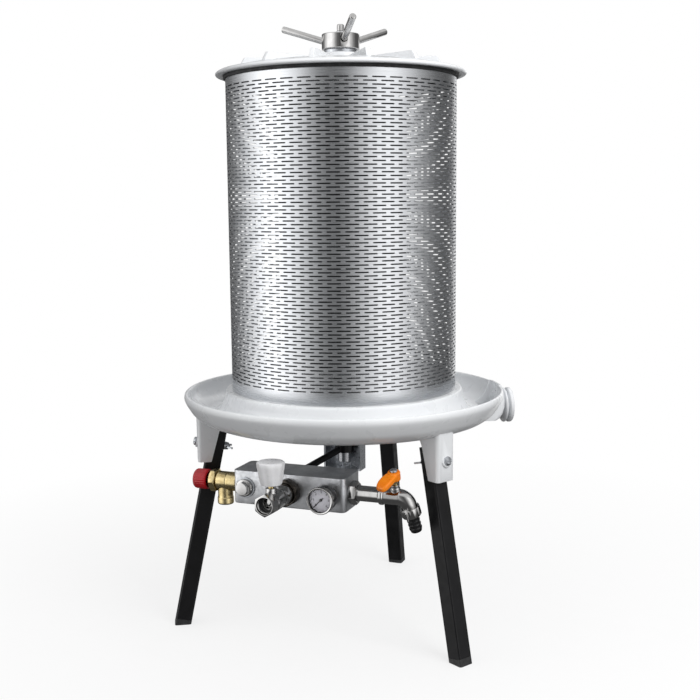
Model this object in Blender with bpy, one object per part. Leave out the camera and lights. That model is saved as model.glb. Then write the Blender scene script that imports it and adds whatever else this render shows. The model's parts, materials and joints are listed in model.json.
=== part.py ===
"""Water-powered bladder press on a three-legged cast tray.

A slotted steel basket stands on the raised seat of a cast tray. A threaded
spindle runs up the middle and carries a rubber bladder, which water from the
manifold under the tray swells against the mash. A ribbed lid and a three-armed
star nut close the basket. The manifold carries the inlet valve, a pressure
gauge, a relief valve, a blanking plug and a drain tap.

Units are metres and +Z is up. Every part hangs from the empty press_axis, which
stands on the floor under the spindle. The origin is the centre of the stand's
footprint. The manifold's fittings face -Y.
"""

from math import atan, cos, hypot, pi, radians, sin, tan

import bmesh
import bpy
from mathutils import Matrix, Vector

MM = 0.001
GAP = 0.3 * MM              # running and assembly clearance
SKEW = 0.07                 # turns a drill, so that its facets don't line up with others

# Basket and what stands inside it
BASKET_R = 175 * MM
BASKET_WALL = 1.5 * MM
SEAT_TOP = 371.5 * MM       # raised seat of the tray, above the floor
BASKET_TOP = 844 * MM
BLADDER_R = 100 * MM
BLADDER_WALL = 4 * MM
BLADDER_LOW = 384 * MM
BLADDER_HIGH = 838 * MM
SPINDLE_R = 10.3 * MM
THREAD_R = 8 * MM
SPINDLE_BORE_R = 5 * MM
SPINDLE_LOW = 250 * MM
FEED_Z = 273 * MM            # where the feed pipe meets the spindle
SPINDLE_TOP = 914 * MM

# Lid and star nut
LID_R = 190.3 * MM
LID_RIDGE_R = 155 * MM
LID_TOP = 881 * MM
RIB_COUNT = 12
RIB_WIDTH = 7.5 * MM
RIB_TOP = 872.5 * MM
RIB_FIRST_AZIMUTH = 5.9     # degrees from the front
HUB_R = 28.5 * MM
HUB_LOW = 886.8 * MM
HUB_HIGH = 910 * MM
ARM_R = 5 * MM
ARM_REACH = 93.8 * MM
ARM_TIP_Z = 922.1 * MM
ARM_ROOT_Z = 899 * MM
ARM_ROOT_R = 22 * MM
ARM_AZIMUTHS = (32.4, 152.4, -87.6)

# Tray
RIM_R = 250 * MM
RIM_TOP = 368 * MM
CHANNEL_Z = 322 * MM        # underside of the juice channel
FLOOR_FALL = 0.004          # slope of the channel towards the spout
SPOUT_AZIMUTH = 120.0
SPOUT_Z = 331 * MM
SPOUT_FLANGE_R = 28 * MM
TURNS = 36                  # facets of the large round parts

# Legs: square tubes that splay outwards from sockets under the tray
LEG_AZIMUTHS = {"left": -60.0, "right": 60.0, "rear": 180.0}
LEG_SIDE = 25 * MM
LEG_WALL = 2 * MM
LEG_CORNER_R = 3 * MM
FOOT_R = 262.2 * MM
LEG_TILT = atan(0.2066)
LEG_TOP = 315 * MM          # measured along the leg
SOLE = 9 * MM
BOLT_UP_LEG = 292.5 * MM
SOCKET_WALL_R = 232 * MM
SOCKET_HALF = 16.5 * MM
SOCKET_CORNER_R = 6 * MM
SOCKET_LOW = 262 * MM

# Manifold, drawn at nominal size about its own frame and then reduced
MANIFOLD_AT = Vector((46.8, -120.4, 50.7)) * MM     # from the press axis
MANIFOLD_SCALE = 0.924
BLOCK_LOW = Vector((-174.6, -49.7, 178.3)) * MM
BLOCK_HIGH = Vector((18.8, 18.9, 233.0)) * MM
BLOCK_CORNER_R = 8 * MM
GALLERY_Y = -23 * MM
GALLERY_Z = 206 * MM
GALLERY_R = 7 * MM
PLUG_X = -152.6 * MM
INLET_X = -77 * MM
GAUGE_X = -8.6 * MM
GAUGE_START = radians(135)  # the needle rests low on the left
INLET_STEM = 63.3 * MM      # from the block to the stem of the inlet valve
TAP_STEM = 75 * MM          # from the block to the stem of the tap
RELIEF_OUTLET = 27.4 * MM   # from the block to the relief valve's outlet
BOLT_HOLE_R = 3.3 * MM
PORT_R = 10.8 * MM
TAP_PORT_R = 13.3 * MM
GAUGE_PORT_R = 6.7 * MM
TAP_LEAN = radians(15)      # the tap's stem leans to the front
LEVER_TURN = radians(-20)   # the tap's lever, stem and ball at rest, from shut towards open

# Where the manifold hangs: its rear face, the bracket's bolts and the feed pipe
REAR_FACE_Y = MANIFOLD_AT.y + MANIFOLD_SCALE * BLOCK_HIGH.y
BRACKET_BOLTS = {"left": -13 * MM, "right": 13 * MM}
BRACKET_BOLT_Z = 254 * MM
FEED_PORT = Vector((-33 * MM, REAR_FACE_Y, 254 * MM))
FEED_R = 5.2 * MM

# The origin is the centre of the footprint box
FOOT_EDGE = FOOT_R + LEG_SIDE / 2 / cos(LEG_TILT)
AXIS_Y = (RIM_R - FOOT_EDGE) / 2

# Turns that point local Z somewhere, and turns about local Z
TO_FRONT = Vector((0, -1, 0)).to_track_quat("Z", "Y")
TO_LEFT = Vector((-1, 0, 0)).to_track_quat("Z", "Y")
TO_RIGHT = Vector((1, 0, 0)).to_track_quat("Z", "Y")
TO_BACK = Vector((0, 1, 0)).to_track_quat("Z", "Y")
TO_FLOOR = Vector((0, 0, -1)).to_track_quat("Z", "Y")
SKEW_TURN = Matrix.Rotation(SKEW, 3, "Z").to_quaternion()
SIXTH_TURN = Matrix.Rotation(pi / 6, 3, "Z").to_quaternion()
HALF_TURN = Matrix.Rotation(pi, 3, "Z").to_quaternion()

# Colour, roughness and metallic value of each finish
FINISHES = {
    "cast_white": ((0.80, 0.82, 0.83), 0.35, 0.0),
    "black_paint": ((0.02, 0.02, 0.022), 0.40, 0.0),
    "black_rubber": ((0.025, 0.025, 0.025), 0.70, 0.0),
    "stainless": ((0.60, 0.61, 0.62), 0.28, 1.0),
    "zinc": ((0.55, 0.57, 0.60), 0.38, 1.0),
    "chrome": ((0.78, 0.78, 0.80), 0.08, 1.0),
    "cast_aluminium": ((0.62, 0.63, 0.65), 0.45, 1.0),
    "brass": ((0.66, 0.50, 0.24), 0.30, 1.0),
    "dark_bronze": ((0.12, 0.11, 0.10), 0.40, 1.0),
    "red_plastic": ((0.45, 0.02, 0.03), 0.35, 0.0),
    "orange_plastic": ((0.95, 0.32, 0.01), 0.35, 0.0),
    "white_plastic": ((0.80, 0.81, 0.82), 0.35, 0.0),
    "black_plastic": ((0.02, 0.02, 0.02), 0.35, 0.0),
    "dial_white": ((0.75, 0.75, 0.76), 0.50, 0.0),
    "clear_plastic": ((0.90, 0.92, 0.93), 0.05, 0.0),
}


# ---------------------------------------------------------------- helpers

def clear_scene():
    for item in list(bpy.data.objects):
        bpy.data.objects.remove(item, do_unlink=True)


def finish(name):
    made = bpy.data.materials.get(name)
    if made:
        return made
    colour, roughness, metallic = FINISHES[name]
    made = bpy.data.materials.new(name)
    made.use_nodes = True
    shader = made.node_tree.nodes["Principled BSDF"]
    shader.inputs["Base Color"].default_value = (*colour, 1.0)
    shader.inputs["Roughness"].default_value = roughness
    shader.inputs["Metallic"].default_value = metallic
    return made


def empty(name, location=(0, 0, 0), rotation=None, parent=None):
    made = bpy.data.objects.new(name, None)
    bpy.context.scene.collection.objects.link(made)
    made.parent = parent
    made.location = location
    if rotation is not None:
        made.rotation_euler = rotation.to_euler()
    return made


def place(name, mesh, look, parent, location=(0, 0, 0), rotation=None):
    made = bpy.data.objects.new(name, mesh)
    bpy.context.scene.collection.objects.link(made)
    if not mesh.materials:
        mesh.materials.append(finish(look))
    made.parent = parent
    made.location = location
    if rotation is not None:
        made.rotation_euler = rotation.to_euler()
    return made


def mesh_of(name, points, faces):
    """A closed mesh with its faces pointing out, shaded smooth except at corners."""
    work = bmesh.new()
    made = [work.verts.new(point) for point in points]
    for face in faces:
        work.faces.new([made[i] for i in face])
    bmesh.ops.recalc_face_normals(work, faces=work.faces)
    mesh = bpy.data.meshes.new(name)
    work.to_mesh(mesh)
    work.free()
    mesh.shade_smooth()
    mesh.set_sharp_from_angle(angle=radians(32))
    return mesh


def turned(name, profile, turns=16):
    """Profile points (radius, height) turned about Z.

    A profile that starts and ends on the axis gives a solid. Any other profile
    closes on itself and gives a ring.
    """
    solid = profile[0][0] == 0
    points, rows = [], []
    for radius, height in profile:
        if radius == 0:
            rows.append([len(points)] * turns)
            points.append((0, 0, height))
            continue
        rows.append(list(range(len(points), len(points) + turns)))
        for i in range(turns):
            angle = 2 * pi * i / turns
            points.append((radius * cos(angle), radius * sin(angle), height))
    pairs = list(zip(rows, rows[1:]))
    if not solid:
        pairs.append((rows[-1], rows[0]))
    faces = []
    for low, high in pairs:
        for i in range(turns):
            j = (i + 1) % turns
            corners = [low[i], low[j], high[j], high[i]]
            faces.append(list(dict.fromkeys(corners)))
    return mesh_of(name, points, faces)


def lofted(name, loops):
    """Loops of points with equal counts, skinned in order and capped at both ends."""
    count = len(loops[0])
    points = [point for loop in loops for point in loop]
    faces = [list(range(count))[::-1]]
    for k in range(len(loops) - 1):
        for i in range(count):
            j = (i + 1) % count
            a, b = k * count, (k + 1) * count
            faces.append([a + i, a + j, b + j, b + i])
    last = (len(loops) - 1) * count
    faces.append(list(range(last, last + count)))
    return mesh_of(name, points, faces)


def extruded(name, outline, low, high):
    """An outline in X and Y, extruded along Z from low to high."""
    return lofted(name, [[(x, y, z) for x, y in outline] for z in (low, high)])


def tube_of(name, outer, inner):
    """Two stacks of loops with equal counts: an outer skin and an open bore inside it."""
    count = len(outer[0])
    loops = outer + inner[::-1]
    points = [point for loop in loops for point in loop]
    faces = []
    for k in range(len(loops)):
        a, b = k * count, (k + 1) % len(loops) * count
        for i in range(count):
            j = (i + 1) % count
            faces.append([a + i, a + j, b + j, b + i])
    return mesh_of(name, points, faces)


def circle(radius, count, start=0.0):
    return [
        (radius * cos(start + 2 * pi * i / count), radius * sin(start + 2 * pi * i / count))
        for i in range(count)
    ]


def hexagon(across_flats):
    return circle(across_flats / 2 / cos(pi / 6), 6)


def rounded_box(half_x, half_y, corner, steps=3, centre=(0, 0)):
    """A rectangle with rounded corners, anticlockwise."""
    outline = []
    for k, (sx, sy) in enumerate(((1, 1), (-1, 1), (-1, -1), (1, -1))):
        for i in range(steps + 1):
            angle = (k + i / steps) * pi / 2
            outline.append((
                centre[0] + sx * (half_x - corner) + corner * cos(angle),
                centre[1] + sy * (half_y - corner) + corner * sin(angle),
            ))
    return outline


def path_loops(path, radius, count):
    """Circles of points square to a path in the XZ plane."""
    loops = []
    for k, point in enumerate(path):
        before, after = path[max(k - 1, 0)], path[min(k + 1, len(path) - 1)]
        along = (after - before).normalized()
        across = Vector((0, 1, 0))
        up = along.cross(across)
        loops.append([
            tuple(point + across * u + up * v) for u, v in circle(radius, count)
        ])
    return loops


def combine(target, tool, operation):
    """Joins or cuts the target with the tool, keeps the result as its mesh, drops the tool."""
    modifier = target.modifiers.new(operation.lower(), "BOOLEAN")
    modifier.operation = operation
    modifier.object = tool
    bpy.context.view_layer.update()
    graph = bpy.context.evaluated_depsgraph_get()
    target.data = bpy.data.meshes.new_from_object(target.evaluated_get(graph))
    target.modifiers.clear()
    bpy.data.objects.remove(tool, do_unlink=True)


def fuse(target, tool):
    combine(target, tool, "UNION")


def cut(target, tool):
    combine(target, tool, "DIFFERENCE")


def drill(target, parent, start, end, radius, count=16):
    """Cuts a round hole between two points in the parent's coordinates."""
    start, end = Vector(start), Vector(end)
    along = end - start
    tool = place(
        "drill",
        extruded("drill", circle(radius, count, SKEW), 0, along.length),
        "zinc",
        parent,
        start,
        along.to_track_quat("Z", "Y"),
    )
    cut(target, tool)


def heading(azimuth):
    """Outward direction at an azimuth in degrees, from the front (-Y) towards +X."""
    angle = radians(azimuth)
    return Vector((sin(angle), -cos(angle), 0))


def radial_turn(azimuth):
    """Turns local +X to the outward direction at an azimuth."""
    return Matrix.Rotation(radians(azimuth - 90), 3, "Z").to_quaternion()


def place_turned(name, profile, look, parent, turns=16, location=(0, 0, 0), rotation=None):
    """A turned part from a profile in millimetres."""
    mesh = turned(name, [(r * MM, z * MM) for r, z in profile], turns)
    return place(name, mesh, look, parent, location, rotation)


def build_nut(name, parent, across, bore, low, high, look="zinc"):
    """A hexagonal nut about local Z, sizes in millimetres."""
    nut = place(name, extruded(name, hexagon(across * MM), low * MM, high * MM), look, parent)
    drill(nut, parent, (0, 0, (low - 5) * MM), (0, 0, (high + 5) * MM), bore * MM)
    return nut


# ---------------------------------------------------------------- tray

def channel_drop(x, y, z, radius):
    """How far the juice channel falls at a point of the tray."""
    depth = min(max((RIM_TOP - z) / (RIM_TOP - CHANNEL_Z), 0), 1)
    inside = min(max((radius - 180 * MM) / (12 * MM), 0), 1)
    return FLOOR_FALL * depth * inside * heading(SPOUT_AZIMUTH).dot(Vector((x, y, 0)))


def tray_profile():
    """Clockwise from the spindle hole: seat, lip, channel, rim, outside, underside, boss."""
    return [
        (r * MM, z * MM)
        for r, z in (
            (10.8, 371.5), (183, 371.5), (185, 370), (187, 356), (195, 341),
            (208, 332.5), (221, 333.5), (234, 342.5), (242, 355), (244, 366),
            (246, 368), (249, 366.5), (250, 360), (247, 353), (238, 338),
            (225, 328), (207, 322), (194, 325), (183, 341), (179, 365.5),
            (26, 365.5), (26, 350), (10.8, 350),
        )
    ]


def socket(parent, leg_frame, azimuth):
    """A channel open to the inside, which holds the top of one leg."""
    drop = FLOOR_FALL * heading(SPOUT_AZIMUTH).dot(heading(azimuth)) * 210 * MM
    wall, low = SOCKET_WALL_R / MM, SOCKET_LOW / MM
    foot = [(wall, low), (wall - 21, low), (wall - 34, low + 47)]
    root = [(188, 330), (195, 327.5), (205, 326.5), (214, 328), (225, 332), (wall, 336)]
    outline = [(r * MM, z * MM) for r, z in foot] + [(r * MM, z * MM - drop) for r, z in root]
    pocket = [(r * MM, z * MM) for r, z in ((150, 250), (225, 250), (225, 345), (150, 345))]
    turn = radial_turn(azimuth)

    def slab(name, points, steps):
        loops = [[(min(r, reach), y, z) for r, z in points] for y, reach in steps]
        return place(name, lofted(name, loops), "cast_white", parent, rotation=turn)

    corner = []
    for angle in (0, pi / 6, pi / 3, pi / 2):
        y = SOCKET_HALF - SOCKET_CORNER_R * (1 - cos(angle))
        corner.append((y, SOCKET_WALL_R - SOCKET_CORNER_R * (1 - sin(angle))))
    holder = slab("socket", outline, [(-y, reach) for y, reach in corner] + corner[::-1])
    boss = extruded("spot_face", circle(9 * MM, 20), 24 * MM, 31 * MM)
    fuse(holder, place("spot_face", boss, "cast_white", leg_frame, (0, 0, BOLT_UP_LEG), TO_RIGHT))
    half = LEG_SIDE / 2 + GAP
    cut(holder, slab("pocket", pocket, [(-half, SOCKET_WALL_R), (half, SOCKET_WALL_R)]))
    drill(holder, leg_frame, (20 * MM, 0, BOLT_UP_LEG), (40 * MM, 0, BOLT_UP_LEG), BOLT_HOLE_R)
    return holder


def add_spout(tray, axis):
    """A housing round a chute through the tray's wall, and a flanged nozzle outside it.

    The hollow keeps the housing out of the juice channel."""
    frame = empty("spout_frame", rotation=radial_turn(SPOUT_AZIMUTH), parent=axis)
    inner = 208
    loops = []
    for z, outer in ((311, 246), (318, 254), (340, 257), (367.5, 251)):
        half = (outer - inner) / 2
        outline = rounded_box(half * MM, 30 * MM, 10 * MM, centre=((inner + half) * MM, 0))
        loops.append([(x, y, z * MM) for x, y in outline])
    housing = place("housing", lofted("housing", loops), "cast_white", frame)
    hollow = [
        (0, 330), (209, 330), (222, 331), (235.5, 341), (243.5, 354.5), (246, 366), (246, 400),
        (0, 400),
    ]
    hollow = turned("hollow", [(r * MM, z * MM) for r, z in hollow], TURNS)
    cut(housing, place("hollow", hollow, "cast_white", axis))
    fuse(tray, housing)
    chute = rounded_box(14.5 * MM, 25 * MM, 8 * MM, centre=(232.5 * MM, 0))
    cut(tray, place("chute", extruded("chute", chute, 319.5 * MM, 390 * MM), "cast_white", frame))
    flange = SPOUT_FLANGE_R / MM
    nozzle = [
        (0, 249), (22, 249), (18.5, 253), (18.5, 256), (flange - 1, 258), (flange, 260),
        (flange - 1, 261.5), (21, 262.5), (21, 265), (flange - 1, 265.5), (flange, 267),
        (flange, 270.5), (flange - 1, 272), (0, 272),
    ]
    nozzle = turned("nozzle", [(r * MM, x * MM) for r, x in nozzle], 24)
    fuse(tray, place("nozzle", nozzle, "cast_white", frame, (0, 0, SPOUT_Z), TO_RIGHT))
    drill(tray, frame, (240 * MM, 0, SPOUT_Z), (280 * MM, 0, SPOUT_Z), 13 * MM, 20)


def build_tray(axis, leg_frames):
    mesh = turned("tray", tray_profile(), TURNS)
    for vertex in mesh.vertices:
        x, y, z = vertex.co
        vertex.co.z -= channel_drop(x, y, z, hypot(x, y))
    tray = place("tray", mesh, "cast_white", axis)
    for side, azimuth in LEG_AZIMUTHS.items():
        fuse(tray, socket(axis, leg_frames[side], azimuth))
    add_spout(tray, axis)


# ---------------------------------------------------------------- legs

def build_leg_frames(axis):
    """One empty per leg at its foot: local Z runs up the leg, local X faces outwards."""
    frames = {}
    for side, azimuth in LEG_AZIMUTHS.items():
        tilt = Matrix.Rotation(-LEG_TILT, 3, "Y").to_quaternion()
        turn = radial_turn(azimuth) @ tilt
        frames[side] = empty("leg_frame_" + side, heading(azimuth) * FOOT_R, turn, axis)
    return frames


def leg_mesh():
    outer = rounded_box(LEG_SIDE / 2, LEG_SIDE / 2, LEG_CORNER_R)
    inner = rounded_box(LEG_SIDE / 2 - LEG_WALL, LEG_SIDE / 2 - LEG_WALL, LEG_CORNER_R - LEG_WALL)
    ends = (SOLE, LEG_TOP)
    return tube_of(
        "leg",
        [[(x, y, z) for x, y in outer] for z in ends],
        [[(x, y, z) for x, y in inner] for z in ends],
    )


def foot_cap_mesh():
    """A sole cut level with the floor, and a plug that fills the end of the tube."""
    sole = rounded_box(LEG_SIDE / 2, LEG_SIDE / 2, LEG_CORNER_R)
    plug_half = LEG_SIDE / 2 - LEG_WALL - GAP
    plug = rounded_box(plug_half, plug_half, LEG_CORNER_R - LEG_WALL)
    return lofted("foot_cap", [
        [(x, y, -x * tan(LEG_TILT)) for x, y in sole],
        [(x, y, SOLE - GAP) for x, y in sole],
        [(x, y, SOLE - GAP) for x, y in plug],
        [(x, y, SOLE + 18 * MM) for x, y in plug],
    ])


def slotted_bolt_mesh():
    """Head from z = 0 upwards, shank below."""
    bolt = place("bolt", turned("bolt", [
        (0, -53 * MM), (3 * MM, -53 * MM), (3 * MM, 0), (6.5 * MM, 0),
        (6.5 * MM, 2 * MM), (4.5 * MM, 3.6 * MM), (0, 4 * MM),
    ], 20), "zinc", None)
    slot = rounded_box(9 * MM, 0.8 * MM, 0.1 * MM, 1)
    cut(bolt, place("slot", extruded("slot", slot, 2.2 * MM, 6 * MM), "zinc", None))
    mesh = bolt.data
    bpy.data.objects.remove(bolt)
    return mesh


def wing_nut_mesh():
    """Seat face at z = 0, two wings leaning outwards."""
    nut = place("nut", turned("nut", [
        (0, 0), (6.5 * MM, 0), (5.5 * MM, 7 * MM), (0, 7 * MM),
    ], 20), "zinc", None)
    side = [
        (0, 1.2), (4, 1.2), (9, 4), (14, 11), (13.2, 13), (11, 13), (7, 7.5), (4, 5.5), (0, 5.5),
    ]
    outline = side + [(-x, z) for x, z in side[-2:0:-1]]
    loops = [[(x * MM, y * MM, z * MM) for x, z in outline] for y in (-1.3, 1.3)]
    fuse(nut, place("wings", lofted("wings", loops), "zinc", None))
    drill(nut, None, (0, 0, -5 * MM), (0, 0, 20 * MM), BOLT_HOLE_R)
    mesh = nut.data
    bpy.data.objects.remove(nut)
    return mesh


def build_legs(frames):
    leg, cap = leg_mesh(), foot_cap_mesh()
    bolt, nut = slotted_bolt_mesh(), wing_nut_mesh()
    for side, frame in frames.items():
        tube = place("leg_" + side, leg.copy(), "black_paint", frame)
        drill(tube, frame, (-30 * MM, 0, BOLT_UP_LEG), (30 * MM, 0, BOLT_UP_LEG), BOLT_HOLE_R)
        place("foot_cap_" + side, cap, "black_rubber", frame)
        place("leg_bolt_" + side, bolt, "zinc", frame, (31.3 * MM, 0, BOLT_UP_LEG), TO_RIGHT)
        seat = (-LEG_SIDE / 2 - GAP, 0, BOLT_UP_LEG)
        place("wing_nut_" + side, nut, "zinc", frame, seat, TO_LEFT)


# ---------------------------------------------------------------- spindle and bladder

def build_spindle(axis):
    r, thread, bore = SPINDLE_R, THREAD_R, SPINDLE_BORE_R
    flange_low = SEAT_TOP + 2.3 * MM
    spindle = place("spindle", turned("spindle", [
        (0, SPINDLE_LOW), (r, SPINDLE_LOW), (r, flange_low), (22 * MM, flange_low), (22 * MM, 379 * MM),
        (r, 379 * MM), (r, 850 * MM), (thread, 852.3 * MM), (thread, SPINDLE_TOP - 1 * MM),
        (thread - 1 * MM, SPINDLE_TOP), (3 * MM, SPINDLE_TOP), (3 * MM, 903 * MM),
        (bore, 900 * MM), (bore, SPINDLE_LOW + 8 * MM), (0, SPINDLE_LOW + 8 * MM),
    ]), "stainless", axis)
    feed_start = Vector((0, 0, FEED_Z))
    drill(spindle, axis, feed_start, feed_start + feed_direction() * 20 * MM, 2.5 * MM, 12)
    drill(spindle, axis, (-20 * MM, 0, 430 * MM), (20 * MM, 0, 430 * MM), 3 * MM, 12)
    gasket = [(11, 371.8), (22, 371.8), (22, 373.5), (11, 373.5)]
    place_turned("spindle_gasket", gasket, "black_rubber", axis)
    build_nut("spindle_lock_nut", axis, 30, 10.6, 338, 346.4)
    for name, low in (("bladder_clamp_lower", 386), ("bladder_clamp_upper", 826)):
        ring = [(15.6, low), (18.5, low), (18.5, low + 10), (15.6, low + 10)]
        place_turned(name, ring, "stainless", axis)
    place_turned("bleed_screw", [
        (0, 904), (2.7, 904), (2.7, 914.3), (5.5, 914.3), (5.5, 923.5), (4.5, 924.5), (0, 924.5),
    ], "chrome", axis, 14)


def build_bladder(axis):
    """A rubber sleeve with a neck at each end, clamped on the spindle."""
    full, hollow = BLADDER_R / MM, (BLADDER_R - BLADDER_WALL) / MM
    outside = [(15.3, 0), (15.3, 15), (full - 20, 19), (full - 4, 27), (full, 42)]
    inside = [(hollow, 43), (hollow - 3.5, 30.5), (hollow - 18, 23.5), (10.7, 19), (10.7, 0)]
    low, high = BLADDER_LOW / MM, BLADDER_HIGH / MM
    profile = [(r, low + z) for r, z in outside] + [(r, high - z) for r, z in outside[::-1]]
    profile += [(r, high - z) for r, z in inside[::-1]] + [(r, low + z) for r, z in inside]
    place_turned("bladder", profile, "black_rubber", axis, 24)


def build_basket(axis):
    low = SEAT_TOP + GAP
    inner = BASKET_R - BASKET_WALL
    profile = [(inner, low), (BASKET_R, low), (BASKET_R, BASKET_TOP), (inner, BASKET_TOP)]
    place("basket", turned("basket", profile, TURNS), "stainless", axis)


# ---------------------------------------------------------------- lid and star nut

def build_lid(axis):
    rim, ridge, top = LID_R / MM, LID_RIDGE_R / MM, LID_TOP / MM
    lid = place_turned("lid", [
        (10.8, top), (33, top), (37, 862), (44, 857), (ridge - 5, 857), (ridge, 860),
        (rim - 2.3, 853), (rim, 850), (rim - 1.8, 847), (181, 847), (181, 848), (168, 848),
        (165, 851), (24, 851), (10.8, 855),
    ], "cast_white", axis, TURNS)
    half, rib_top = RIB_WIDTH / 2, RIB_TOP / MM
    side = [(30, 853), (ridge - 2, 853), (ridge - 0.5, 862), (ridge - 8, rib_top), (30, rib_top)]
    loops = [[(r * MM, y, z * MM) for r, z in side] for y in (-half, half)]
    for i in range(RIB_COUNT):
        turn = radial_turn(RIB_FIRST_AZIMUTH + i * 360 / RIB_COUNT)
        fuse(lid, place("rib", lofted("rib", loops), "cast_white", axis, rotation=turn))
    place_turned("lid_gasket", [
        (175.3, 841.5), (179, 841.5), (179, 847.7), (170.2, 847.7), (170.2, 844.3), (175.3, 844.3),
    ], "black_rubber", axis, TURNS)


def build_star_nut(axis):
    place_turned("thrust_washer", [
        (8.4, 881.3), (25, 881.3), (25, 886.5), (8.4, 886.5),
    ], "zinc", axis)
    low, high, r = HUB_LOW / MM, HUB_HIGH / MM, HUB_R / MM
    hub = place_turned("star_nut_hub", [
        (8.3, low), (r - 1.5, low), (r, low + 1.5), (r, high - 2), (r - 2, high), (8.3, high),
    ], "chrome", axis, 28)
    rise = (ARM_TIP_Z - ARM_ROOT_Z) / (ARM_REACH - ARM_ROOT_R)
    lean = atan(rise)
    length = hypot(ARM_REACH - ARM_ROOT_R, ARM_TIP_Z - ARM_ROOT_Z)
    tip = ARM_R * 0.3
    arm = turned("star_nut_arm", [
        (0, 0), (ARM_R, 0), (ARM_R, length - ARM_R), (tip, length), (0, length),
    ], 12)
    for i, azimuth in enumerate(ARM_AZIMUTHS, 1):
        root = heading(azimuth) * ARM_ROOT_R + Vector((0, 0, ARM_ROOT_Z))
        along = heading(azimuth) * cos(lean) + Vector((0, 0, sin(lean)))
        turn = along.to_track_quat("Z", "Y")
        place(f"star_nut_arm_{i}", arm, "chrome", axis, root, turn)
        drill(hub, axis, root - along * GAP, root + along * 20 * MM, ARM_R + 2 * GAP, 12)


# ---------------------------------------------------------------- manifold

def build_block(axis):
    low, high = BLOCK_LOW, BLOCK_HIGH
    middle, half = (low + high) / 2, (high - low) / 2
    outline = rounded_box(half.x, half.y, BLOCK_CORNER_R, 4, (middle.x, middle.y))
    block = place("manifold_block", extruded("manifold_block", outline, low.z, high.z),
                  "cast_aluminium", axis)

    def hole(start, end, radius, count=24):
        drill(block, axis, [v * MM for v in start], [v * MM for v in end], radius, count)

    y, z = GALLERY_Y / MM, GALLERY_Z / MM
    hole((-200, y, z), (40, y, z), GALLERY_R, 20)
    hole((-200, y, z), (-158, y, z), PORT_R)
    hole((2, y, z), (40, y, z), TAP_PORT_R)
    for x, radius in ((PLUG_X, PORT_R), (INLET_X, PORT_R), (GAUGE_X, GAUGE_PORT_R)):
        hole((x / MM, -60, z), (x / MM, -34, z), radius)
        hole((x / MM, -36, z), (x / MM, y, z), 4 * MM, 16)
    return block


def feed_direction():
    """From the spindle's side hole to the block's rear port."""
    return (FEED_PORT - Vector((0, 0, FEED_Z))).normalized()


def build_hanger(axis, block):
    """A channel that hangs from the spindle, with an arm to the block's rear face."""
    left, right, front, back, sheet = -34, 28, -4, 20, 3
    channel = [
        (left, front), (left + sheet, front), (left + sheet, back - sheet),
        (right - sheet, back - sheet), (right - sheet, front), (right, front),
        (right, back), (left, back),
    ]
    low, top, arm_half, flange_top = 236, 349.7, 20, 262
    hanger = place("hanger_bracket", extruded(
        "hanger_bracket", [(x * MM, y * MM) for x, y in channel], low * MM, top * MM,
    ), "zinc", axis)

    def plate(x0, x1, y0, y1, z0, z1):
        outline = [(x * MM, y * MM) for x, y in ((x0, y0), (x1, y0), (x1, y1), (x0, y1))]
        return place("plate", extruded("plate", outline, z0 * MM, z1 * MM), "zinc", axis)

    flange_y = REAR_FACE_Y / MM + 0.3
    fuse(hanger, plate(left + 1, 27, front + 0.6, back - 1, low, low + sheet))
    fuse(hanger, plate(-arm_half, arm_half, flange_y, 0, low, low + sheet))
    fuse(hanger, plate(-arm_half, arm_half, flange_y, flange_y + sheet, low, flange_top))
    fuse(hanger, plate(left + 1, right - 1, -19, back - 1, top - sheet, top))
    drill(hanger, axis, (0, 0, (top - 8) * MM), (0, 0, (top + 3) * MM), 10.8 * MM)

    shank = extruded("bolt", circle(3 * MM, 16), -12 * MM, 1 * MM)
    head = extruded("head", hexagon(10 * MM), 0, 4 * MM)
    bolt = place("bolt", shank, "zinc", None)
    fuse(bolt, place("head", head, "zinc", None))
    seat_y = REAR_FACE_Y + (0.7 + sheet) * MM
    for side, x in BRACKET_BOLTS.items():
        seat = Vector((x, seat_y, BRACKET_BOLT_Z))
        ahead, behind = Vector((0, -14 * MM, 0)), Vector((0, 10 * MM, 0))
        drill(hanger, axis, seat + ahead, seat + behind, BOLT_HOLE_R)
        drill(block, axis, seat + ahead, seat + behind, BOLT_HOLE_R)
        place("bracket_bolt_" + side, bolt.data, "zinc", axis, seat, TO_BACK)
    bpy.data.objects.remove(bolt)


def build_feed(axis, block):
    """A pipe from the block's rear port to a collar round the spindle, with a gland nut."""
    start = Vector((0, 0, FEED_Z))
    along = feed_direction()
    turn = along.to_track_quat("Z", "Y")
    length = (FEED_PORT - start).length
    pipe = place("feed_pipe", extruded("feed_pipe", circle(FEED_R, 16, SKEW), 9 * MM, length + 8 * MM),
                 "black_paint", axis, start, turn)
    collar = extruded("collar", circle(15 * MM, 16), FEED_Z - 7 * MM, FEED_Z + 7 * MM)
    fuse(pipe, place("collar", collar, "black_paint", axis))
    drill(pipe, axis, (0, 0, 255 * MM), (0, 0, 290 * MM), SPINDLE_R + GAP)
    drill(pipe, axis, start, start + along * (length + 15 * MM), 2.5 * MM, 12)
    drill(block, axis, FEED_PORT - along * 10 * MM, FEED_PORT + along * 10 * MM, FEED_R + GAP)
    gallery = FEED_PORT.copy()
    gallery.y = MANIFOLD_AT.y + MANIFOLD_SCALE * GALLERY_Y
    gallery.z = MANIFOLD_AT.z + MANIFOLD_SCALE * GALLERY_Z
    drill(block, axis, FEED_PORT + along * 9 * MM, gallery, 2.5 * MM, 12)
    gland = place("feed_gland", extruded("feed_gland", hexagon(14 * MM), 0.3 * MM, 8 * MM),
                  "zinc", axis, FEED_PORT, TO_BACK)
    drill(gland, axis, FEED_PORT - along * 30 * MM, FEED_PORT + along * 5 * MM, FEED_R + GAP)


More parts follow.
